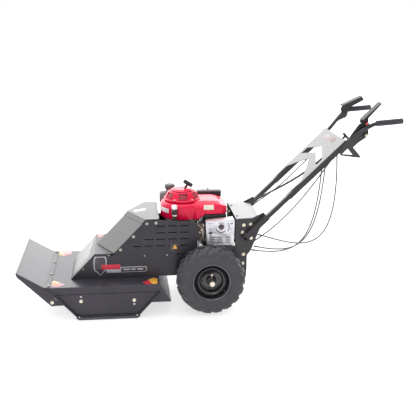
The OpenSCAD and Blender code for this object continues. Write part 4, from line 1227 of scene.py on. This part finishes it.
def make_grip_bars():
    parts = [sweep(open_corners(mirrored(GRIP_PATH, side), 26), 11, 28) for side in (-1, 1)]
    lean = math.radians(35)
    up = Vector((-math.sin(lean), 0, math.cos(lean)))
    foot = Vector((905, -267.5, 1087))
    cup = [(8.3, 12), (8.3, 20), (9.4, 20.2), (10.4, 19.4), (10.6, 18), (10.6, 15.5),
           (9.9, 14.6), (9.9, 12.2), (10.6, 11.4), (10.6, 6), (12.5, 2), (13, -4), (0.4, -4),
           (0.4, 12)]
    parts.append(lathe(cup, foot, up, 36, closed=True))
    solid("grip_tubes", parts, "root", "black_powder", finish="bar_black",
          replaces=["grip_bars"])
    button = [(0.3, 17.6), (7.2, 17.6), (7.9, 18.2), (7.9, 25), (7.2, 26.6), (5.4, 27.4),
              (3.0, 27.2), (0.3, 27.0)]
    solid("button_cap", [lathe(button, foot, up, 36)], "safety_button", "red_plastic",
          replaces=["lock_button"])


def rail_point(s, y, n):
    """A point s along the handle's slope and n above its line."""
    a = math.radians(44)
    return Vector((203 + s * math.cos(a) - n * math.sin(a), y,
                   414 + s * math.sin(a) + n * math.cos(a)))


def make_pull_knob():
    along = (rail_point(1, 0, 0) - rail_point(0, 0, 0)).normalized()
    across = (rail_point(0, 0, 1) - rail_point(0, 0, 0)).normalized()
    root = rail_point(751, -135, 8.5)
    rod = lathe([(0.3, 0), (3.9, 0), (3.9, 44), (5.2, 46), (6, 48), (6.2, 60), (5.6, 74),
                 (6.4, 88), (7.4, 98), (7.4, 106), (0.3, 106)], root, along, 28)
    hub = root + along * 103
    bar = lathe([(0.3, -25), (4.4, -24.6), (6.9, -22.4), (7.5, -19), (6.9, -12), (6.6, -4),
                 (6.9, 8), (7.5, 17), (6.9, 20.4), (4.4, 22.6), (0.3, 23)], hub, across, 32)
    solid("knob_handle", [rod, bar], "panel_knob", "black_plastic", replaces=["pull_knob"])


def bezier(p, n):
    a, b, c, d = (Vector(q) for q in p)
    out = []
    for i in range(n + 1):
        t = i / n
        out.append(a * (1 - t) ** 3 + b * 3 * t * (1 - t) ** 2 + c * 3 * t * t * (1 - t)
                   + d * t ** 3)
    return out


CABLES = [
    [(756, -170, 885), (790, -170, 240), (560, -170, 350), (300, -150, 425)],
    [(666, -170, 812), (640, -170, 330), (520, -170, 290), (262, -160, 332)],
    [(692, -150, 826), (660, -150, 320), (540, -150, 290), (280, -140, 348)],
    [(742, -120, 875), (590, -120, 650), (460, -120, 480), (268, -120, 366)],
    [(590, 60, 790), (500, 60, 700), (440, 60, 640), (310, 60, 560)],
]
HARNESS = [(670, -128, 872), (560, -60, 740), (450, 60, 655), (322, 150, 552)]
CABLE_TAILS = [40, 30, 36, 40, 100]      # straight run of each cable up under the handle panel


def with_tail(path, length):
    """A path with a straight run of this length put before its first point."""
    return [path[0] + (path[0] - path[1]).normalized() * length] + list(path)


def make_cables():
    """Jacketed cables with crimped ends, and a ribbed conduit for the wiring."""
    parts = []
    for curve, tail in zip(CABLES, CABLE_TAILS):
        path = with_tail(bezier(curve, 48), tail)
        parts.append(sweep(path, 3.9, 12))
        for end, inner in ((path[0], path[1]), (path[-1], path[-2])):
            axis = (inner - end).normalized()
            parts.append(lathe([(0.3, -1), (4.2, -1), (5.2, 0.5), (5.4, 12), (4.8, 20),
                                (4.0, 26), (0.3, 26)], end, axis, 16))
    solid("cable_jackets", parts, "root", "black_plastic", finish="cable_jacket",
          replaces=["control_cables"])
    path = with_tail(bezier(HARNESS, 150), 50)
    radii = [6.6 if k % 3 else 5.6 for k in range(len(path))]
    solid("wiring_conduit", [sweep(path, radii, 16)], "root", "black_plastic", 20)


# ---------------------------------------------------------------- bolts

def loose_parts(node):
    """Low and high corners in mm of each separate solid of a CAD node, in a fixed order."""
    obj = NODES[node]
    bm = bmesh.new()
    bm.from_mesh(obj.data)
    bmesh.ops.remove_doubles(bm, verts=bm.verts, dist=0.00001)
    bm.verts.ensure_lookup_table()
    seen, boxes = set(), []
    for start in bm.verts:
        if start.index in seen:
            continue
        seen.add(start.index)
        stack, spots = [start], []
        while stack:
            v = stack.pop()
            spots.append((obj.matrix_world @ v.co) / MM)
            for edge in v.link_edges:
                other = edge.other_vert(v)
                if other.index not in seen:
                    seen.add(other.index)
                    stack.append(other)
        boxes.append((Vector([min(p[i] for p in spots) for i in range(3)]),
                      Vector([max(p[i] for p in spots) for i in range(3)])))
    bm.free()
    return sorted(boxes, key=lambda b: (round(b[0].y, 1), round(b[0].x, 1), round(b[0].z, 1)))


def through_bolt(lo, hi, turn):
    """Bolt, washer and nut along Y that fill the same space as the CAD bolt."""
    side = 1 if lo.y + hi.y > 0 else -1
    outer, inner = (hi.y, lo.y) if side > 0 else (lo.y, hi.y)
    x, z = (lo.x + hi.x) / 2, (lo.z + hi.z) / 2
    face = Vector((x, outer - side * 7, z))
    back = Vector((x, inner + side * 7, z))
    return merge(hex_bolt(face, (0, side, 0), 16, 5.6, 1.4, turn),
                 sweep([face, back], 5.9, 14),
                 hex_bolt(back, (0, -side, 0), 19, 6.0, 1.0, turn + 11))


def make_bolts():
    heads = []
    for k, (lo, hi) in enumerate(loose_parts("frame_bolts")):
        heads.append(through_bolt(lo, hi, 17 * k % 60))
    solid("frame_hex_bolts", heads, "root", "zinc", 30, replaces=["frame_bolts"])
    screws = []
    for k, (lo, hi) in enumerate(loose_parts("body_screws")):
        middle = (lo + hi) / 2
        r = (hi.x - lo.x) / 2
        if hi.z - lo.z < 8:
            screws.append(hex_bolt((middle.x, middle.y, lo.z), (0, 0, 1), 13, 4.2, 1.2, 13 * k))
            continue
        side = 1 if middle.y > 0 else -1
        outer = hi.y if side > 0 else lo.y
        face = Vector((middle.x, outer - side * 3, middle.z))
        if r > 7:
            screws.append(lathe([(0.3, 0), (r, 0), (r, 0.8), (r - 1.6, 1.4), (6.2, 1.5),
                                 (6.0, 2.6), (4.6, 3.2), (2.6, 3.0), (2.5, 1.6), (0.3, 1.6)],
                                face, (0, side, 0), 32))
        else:
            screws.append(pan_head(face, (0, side, 0), r, 2.8))
        screws.append(sweep([face, face - Vector((0, side * 4, 0))], 3.7, 12))
    solid("panel_screws", screws, "root", "zinc", 30, finish="zinc_dull",
          replaces=["body_screws"])
    pins = []
    for side, x, z in ((-1, 900, 1034), (1, 911.3, 1078.3)):
        pins.append(hex_bolt((x, side * 247.5, z), (0, side, 0), 13, 4.0, 0.8, 20))
    solid("lever_pivot_nuts", pins, "root", "zinc", 30)


# ---------------------------------------------------------------- labels and painted-shade sheets

def flat_label(name, outline, place, finish, slot="grey_plastic"):
    """A blank sticker: a thin plate just above a face."""
    return cut_plate(name, outline, [], place, 0.5, 0.1, "root", slot, finish=finish)


def facing_up(z):
    return Matrix(((1, 0, 0, 0), (0, 1, 0, 0), (0, 0, 1, z), (0, 0, 0, 1)))


def facing_right(y):
    return Matrix(((1, 0, 0, 0), (0, 0, 1, y), (0, 1, 0, 0), (0, 0, 0, 1)))


def box_points(x0, x1, y0, y1):
    return [(x0, y0), (x1, y0), (x1, y1), (x0, y1)]


def shifted(place, y, by):
    """The same placement, a little further out of the face at y."""
    return Matrix.Translation((0, math.copysign(by, y), 0)) @ place


def make_labels():
    """Blank stickers: no words and no marks, only plain colour fields."""
    top = high("deck_shell").z + 0.3
    up = facing_up(top)
    flat_label("front_label_cream", [(-934, -225), (-910, -204), (-868, -245), (-885, -262),
                                     (-937, -262)], up, "label_straw")
    flat_label("front_label_rose", [(-937, -264), (-886, -264), (-867, -247), (-841, -271),
                                    (-880, -311), (-932, -297)], up, "label_rose")
    flat_label("front_label_spot", ring_points(-902, -246, 11), facing_up(top + 0.5),
               "label_amber")
    flat_label("far_label_cream", [(-941, 313), (-890, 313), (-880, 262), (-900, 240),
                                   (-919, 238)], up, "label_straw")
    flat_label("far_label_rose", [(-888, 313), (-845, 312), (-837, 262), (-891, 219),
                                  (-898, 238), (-878, 261)], up, "label_rose")
    flat_label("rear_label_red", [(-400, -282), (-366, -248), (-346, -312), (-376, -315)], up,
               "label_red")
    flat_label("rear_label_amber", [(-364, -246), (-334, -214), (-310, -230), (-313, -308),
                                    (-344, -312)], up, "label_amber")
    side = low("belt_guard").y
    for tag, y, place in (("near", side - 0.3, facing_left(side - 0.3)),
                          ("off", -side + 0.3, facing_right(-side + 0.3))):
        above, top_most = shifted(place, y, 0.5), shifted(place, y, 1.0)
        flat_label(tag + "_stripe_silver", [(-606, 229), (-377, 229), (-367, 243), (-374, 263),
                                            (-606, 263)], place, "label_silver")
        flat_label(tag + "_stripe_dark", [(-522, 233), (-380, 233), (-372, 243), (-378, 259),
                                          (-522, 259)], above, "label_badge")
        flat_label(tag + "_stripe_red", box_points(-634, -526, 250, 280), top_most, "label_red")
        for k, (x0, x1) in enumerate(((-508, -470), (-462, -436), (-424, -392))):
            flat_label("%s_stripe_bar_%d" % (tag, k), box_points(x0, x1, 242, 250), top_most,
                       "label_silver")
        badge = [(-674, 331), (-608, 331), (-603, 300), (-606, 250), (-642, 212), (-680, 250),
                 (-681, 300)]
        flat_label(tag + "_badge", [tuple(p) for p in round_corners(badge, 7, 4)], place,
                   "label_silver")
        inner = [(-642 + (x + 642) * 0.82, 274 + (z - 274) * 0.90) for x, z in badge]
        flat_label(tag + "_badge_field", [tuple(p) for p in round_corners(inner, 6, 4)], above,
                   "label_badge")
        flat_label(tag + "_patch", [tuple(p) for p in round_corners(
            [(-229, 399), (-178, 394), (-175, 350), (-232, 352)], 4, 3)], place, "label_badge")
        flat_label(tag + "_patch_spot", [(-217, 366), (-203, 392), (-188, 366)],
                   above, "label_amber")
    flat_label("shield_patch", [tuple(p) for p in round_corners(
        [(-441, 10), (-434, -31), (-364, 4), (-364, 46)], 8, 4)],
               facing_up(high("shield_prow").z + 3.3), "label_white")


def slope_place(foot, head, lift):
    """Plate space (y, distance up the slope) on a plate that rises from foot to head (x, z)."""
    run, rise = head[0] - foot[0], head[1] - foot[1]
    long = math.hypot(run, rise)
    up, out = Vector((run / long, 0, rise / long)), Vector((-rise / long, 0, run / long))
    at = Vector((foot[0], 0, foot[1])) + out * lift
    return Matrix(((0, up.x, out.x, at.x), (-1, 0, 0, 0), (0, up.z, out.z, at.z), (0, 0, 0, 1)))


def make_slope_labels():
    """Blank pale stickers on the sloping nose and on the handle panel, and the panel's bolts."""
    nose = slope_place((-815, 195), (-673, 347), 0.3)
    flat_label("nose_label", [tuple(p) for p in round_corners(
        [(-188, 14), (170, 14), (150, 150), (-188, 196)], 10, 4)], nose, "label_pale")
    flat_label("guard_top_label", [(-668, 188), (-628, 188), (-630, 140), (-660, 112)],
               facing_up(347.3), "label_rose")
    sheet_n = 18.5
    base, tip = rail_point(0, 0, sheet_n), rail_point(100, 0, sheet_n)
    panel = slope_place((base.x, base.z), (tip.x, tip.z), 0.3)
    flat_label("panel_label", box_points(-110, 90, 772, 806), panel, "label_faded")
    heads = []
    out = (tip - base).cross(Vector((0, -1, 0))).normalized()
    for s, y in ((743, -60), (742, -193), (722, 187)):
        face = rail_point(s, y, sheet_n)
        heads.append(hex_bolt(face, out, 12, 4.0, 1.2, 9))
        heads.append(sweep([face, face - out * 3.5], 3.6, 14))
    solid("panel_bolts", heads, "root", "zinc", 30, finish="zinc_dull")


def make_slot_shades():
    """Matt near-black sheets behind the slots of the side panels and behind the starter end:
    painted shade seen through the slots.
    """
    for side in (-1, 1):
        face = side * 187.0
        place = facing_left(face) if side < 0 else facing_right(face)
        tag = "near" if side < 0 else "off"
        near = [(-528, 352), (-372, 515), (-110, 515), (-78, 500), (-78, 352)]
        off = [(-528, 352), (-426, 458), (-78, 458), (-78, 352)]
        cut_plate(tag + "_slot_liner", near if side < 0 else off, [], place, 3.0, 0.6, "root",
                  "black_plastic", finish="liner_black")


# ---------------------------------------------------------------- rear cover, linkage and trim

def facing_front(x):
    """Plate space (y, z) at a constant x, its front towards the machine's front."""
    return Matrix(((0, 0, -1, x), (-1, 0, 0, 0), (0, 1, 0, 0), (0, 0, 0, 1)))


def coil(start, end, radius, wire, turns, steps=14):
    """Round wire wound along a line, with straight hooks at both ends."""
    start, end = Vector(start), Vector(end)
    axis = (end - start).normalized()
    u, v = axis_frame(axis)
    count = turns * steps
    path = [start - axis * 8]
    for i in range(count + 1):
        a = 2 * math.pi * i / steps
        path.append(start.lerp(end, i / count) + (u * math.cos(a) + v * math.sin(a)) * radius)
    path.append(end + axis * 8)
    return sweep(path, wire, 8)


def make_linkage():
    """Throttle plate, governor springs and rods in the gap before the muffler guard."""
    y = -150.0
    place = facing_left(y)
    outline = round_corners([(-66, 500), (-26, 500), (-24, 470), (-38, 452), (-44, 404),
                             (-62, 404), (-60, 456), (-68, 474)], 5, 4)
    # The throttle plate, a zinc part, is coloured dark brown: painted shade in the gap before the
    # muffler guard.
    cut_plate("throttle_plate", [tuple(p) for p in outline],
              [ring_points(-50, 486, 3.4), slot_points(-58, -50, 414, 440)], place, 2.0, 0.4,
              "root", "zinc", finish="boss_brown")
    arm = round_corners([(-48, 470), (-34, 476), (-24, 446), (-30, 424), (-38, 430), (-40, 452)],
                        4, 4)
    cut_plate("throttle_arm", [tuple(p) for p in arm], [ring_points(-41, 466, 2.2)],
              facing_left(y - 7), 2.0, 0.4, "root", "silver_sheet", finish="zinc_dull")
    springs = [coil((-34, y - 12, 428), (-52, y - 10, 388), 3.6, 0.9, 9),
               coil((-30, y - 10, 472), (-58, y - 10, 492), 3.0, 0.8, 8)]
    solid("governor_springs", springs, "root", "zinc", 50)
    rods = [sweep(spline([(-31, y - 11, 426), (-28, y - 12, 404), (-36, y - 6, 392),
                          (-40, y + 4, 380)], 6), 1.5, 8),
            sweep(spline([(-58, y - 9, 494), (-66, y - 6, 506), (-60, y + 8, 516),
                          (-48, y + 16, 520)], 6), 1.4, 8)]
    solid("governor_rods", rods, "root", "zinc", 50)
    bolts = [hex_bolt((-41, y - 8, 466), (0, -1, 0), 9, 4.5, 1.0, 8),
             hex_bolt((-52, y - 1, 448), (0, -1, 0), 8, 4.0, 0.8, 20),
             hex_bolt((-30, y - 1, 492), (0, -1, 0), 8, 4.0, 0.8, 3)]
    stand = [lathe([(0.3, 0), (4, 0), (4, 30), (0.3, 30)], (-52, y + 0.5, 448), (0, 1, 0), 16),
             lathe([(0.3, 0), (4, 0), (4, 30), (0.3, 30)], (-30, y + 0.5, 492), (0, 1, 0), 16)]
    solid("linkage_bolts", bolts + stand, "root", "zinc", 30)


def make_cover_front_shade():
    """Matt near-black sheet with bolts on the front wall of the rear cover: painted shade on the
    wall that faces the engine.
    """
    lo, hi = low("rear_cover"), high("rear_cover")
    outline = round_corners(box_points(lo.y + 5, hi.y - 5, lo.z + 6, 531), 5, 4)
    cut_plate("cover_mat", [tuple(p) for p in outline],
              [ring_points(0, 470, 16), ring_points(0, 420, 9)], facing_front(lo.x - 2.2), 4.0,
              1.2, "root", "black_plastic", finish="liner_black")
    heads = []
    for y, z in ((-150, 500), (150, 500), (-60, 512), (60, 512), (-150, 410), (150, 410)):
        heads.append(hex_bolt((lo.x - 4.2, y, z), (-1, 0, 0), 10, 4.5, 1.2, 9))
    solid("cover_mat_bolts", heads, "root", "zinc", 30)
    caps = []
    for side in (-1, 1):
        caps.append(pan_head((175, side * 120, 535.6), (0, 0, 1), 7.0, 3.0))
    solid("cover_plugs", caps, "root", "black_plastic", 30)


def make_deck_trim():
    """Rolled bead on the deflector's lip, runner bolts and chain hooks on the deck's sides."""
    lip = low("front_deflector")
    tip = Vector((lip.x + 6, 0, high("front_deflector").z - 4))
    reach = (high("front_deflector").y - lip.y) / 2 - 3
    solid("deflector_bead", [sweep([tip + Vector((0, -reach, 0)), tip + Vector((0, reach, 0))],
                                   5.0, 20)], "root", "black_powder", finish="deck_black")
    edge = high("skids").y
    bolts, hooks = [], []
    for side in (-1, 1):
        for x, z in ((-765, 20), (-434, 20)):
            bolts.append(hex_bolt((x, side * (edge - 0.4), z), (0, side, 0), 8, 2.6, 0.6, 12))
        eye = Vector((-894, side * 324, 128))
        hooks.append(sweep([eye + Vector((5 * math.cos(math.radians(t)), 0,
                                          9 * math.sin(math.radians(t))))
                            for t in range(-60, 241, 20)], 1.8, 10))
    solid("runner_bolts", bolts, "root", "zinc", 30, finish="zinc_dull")
    solid("chain_hooks", hooks, "root", "zinc", 40, finish="zinc_dull")


# ---------------------------------------------------------------- build

bpy.context.scene.view_settings.view_transform = "Standard"
dress_cad()
for wheel_side in ("left", "right"):
    make_tyre(wheel_side)
    make_rim(wheel_side)
make_cowl()
make_dome()
make_starter_grip()
make_fuel_parts()
make_air_cleaner()
make_muffler_shield()
make_oil_filler()
make_grips()
make_grip_bars()
make_pull_knob()
make_cables()
make_bolts()
make_labels()
make_slope_labels()
make_slot_shades()
make_cowl_labels()
make_linkage()
make_cover_front_shade()
make_deck_trim()
make_camera()
make_world()
make_floor()
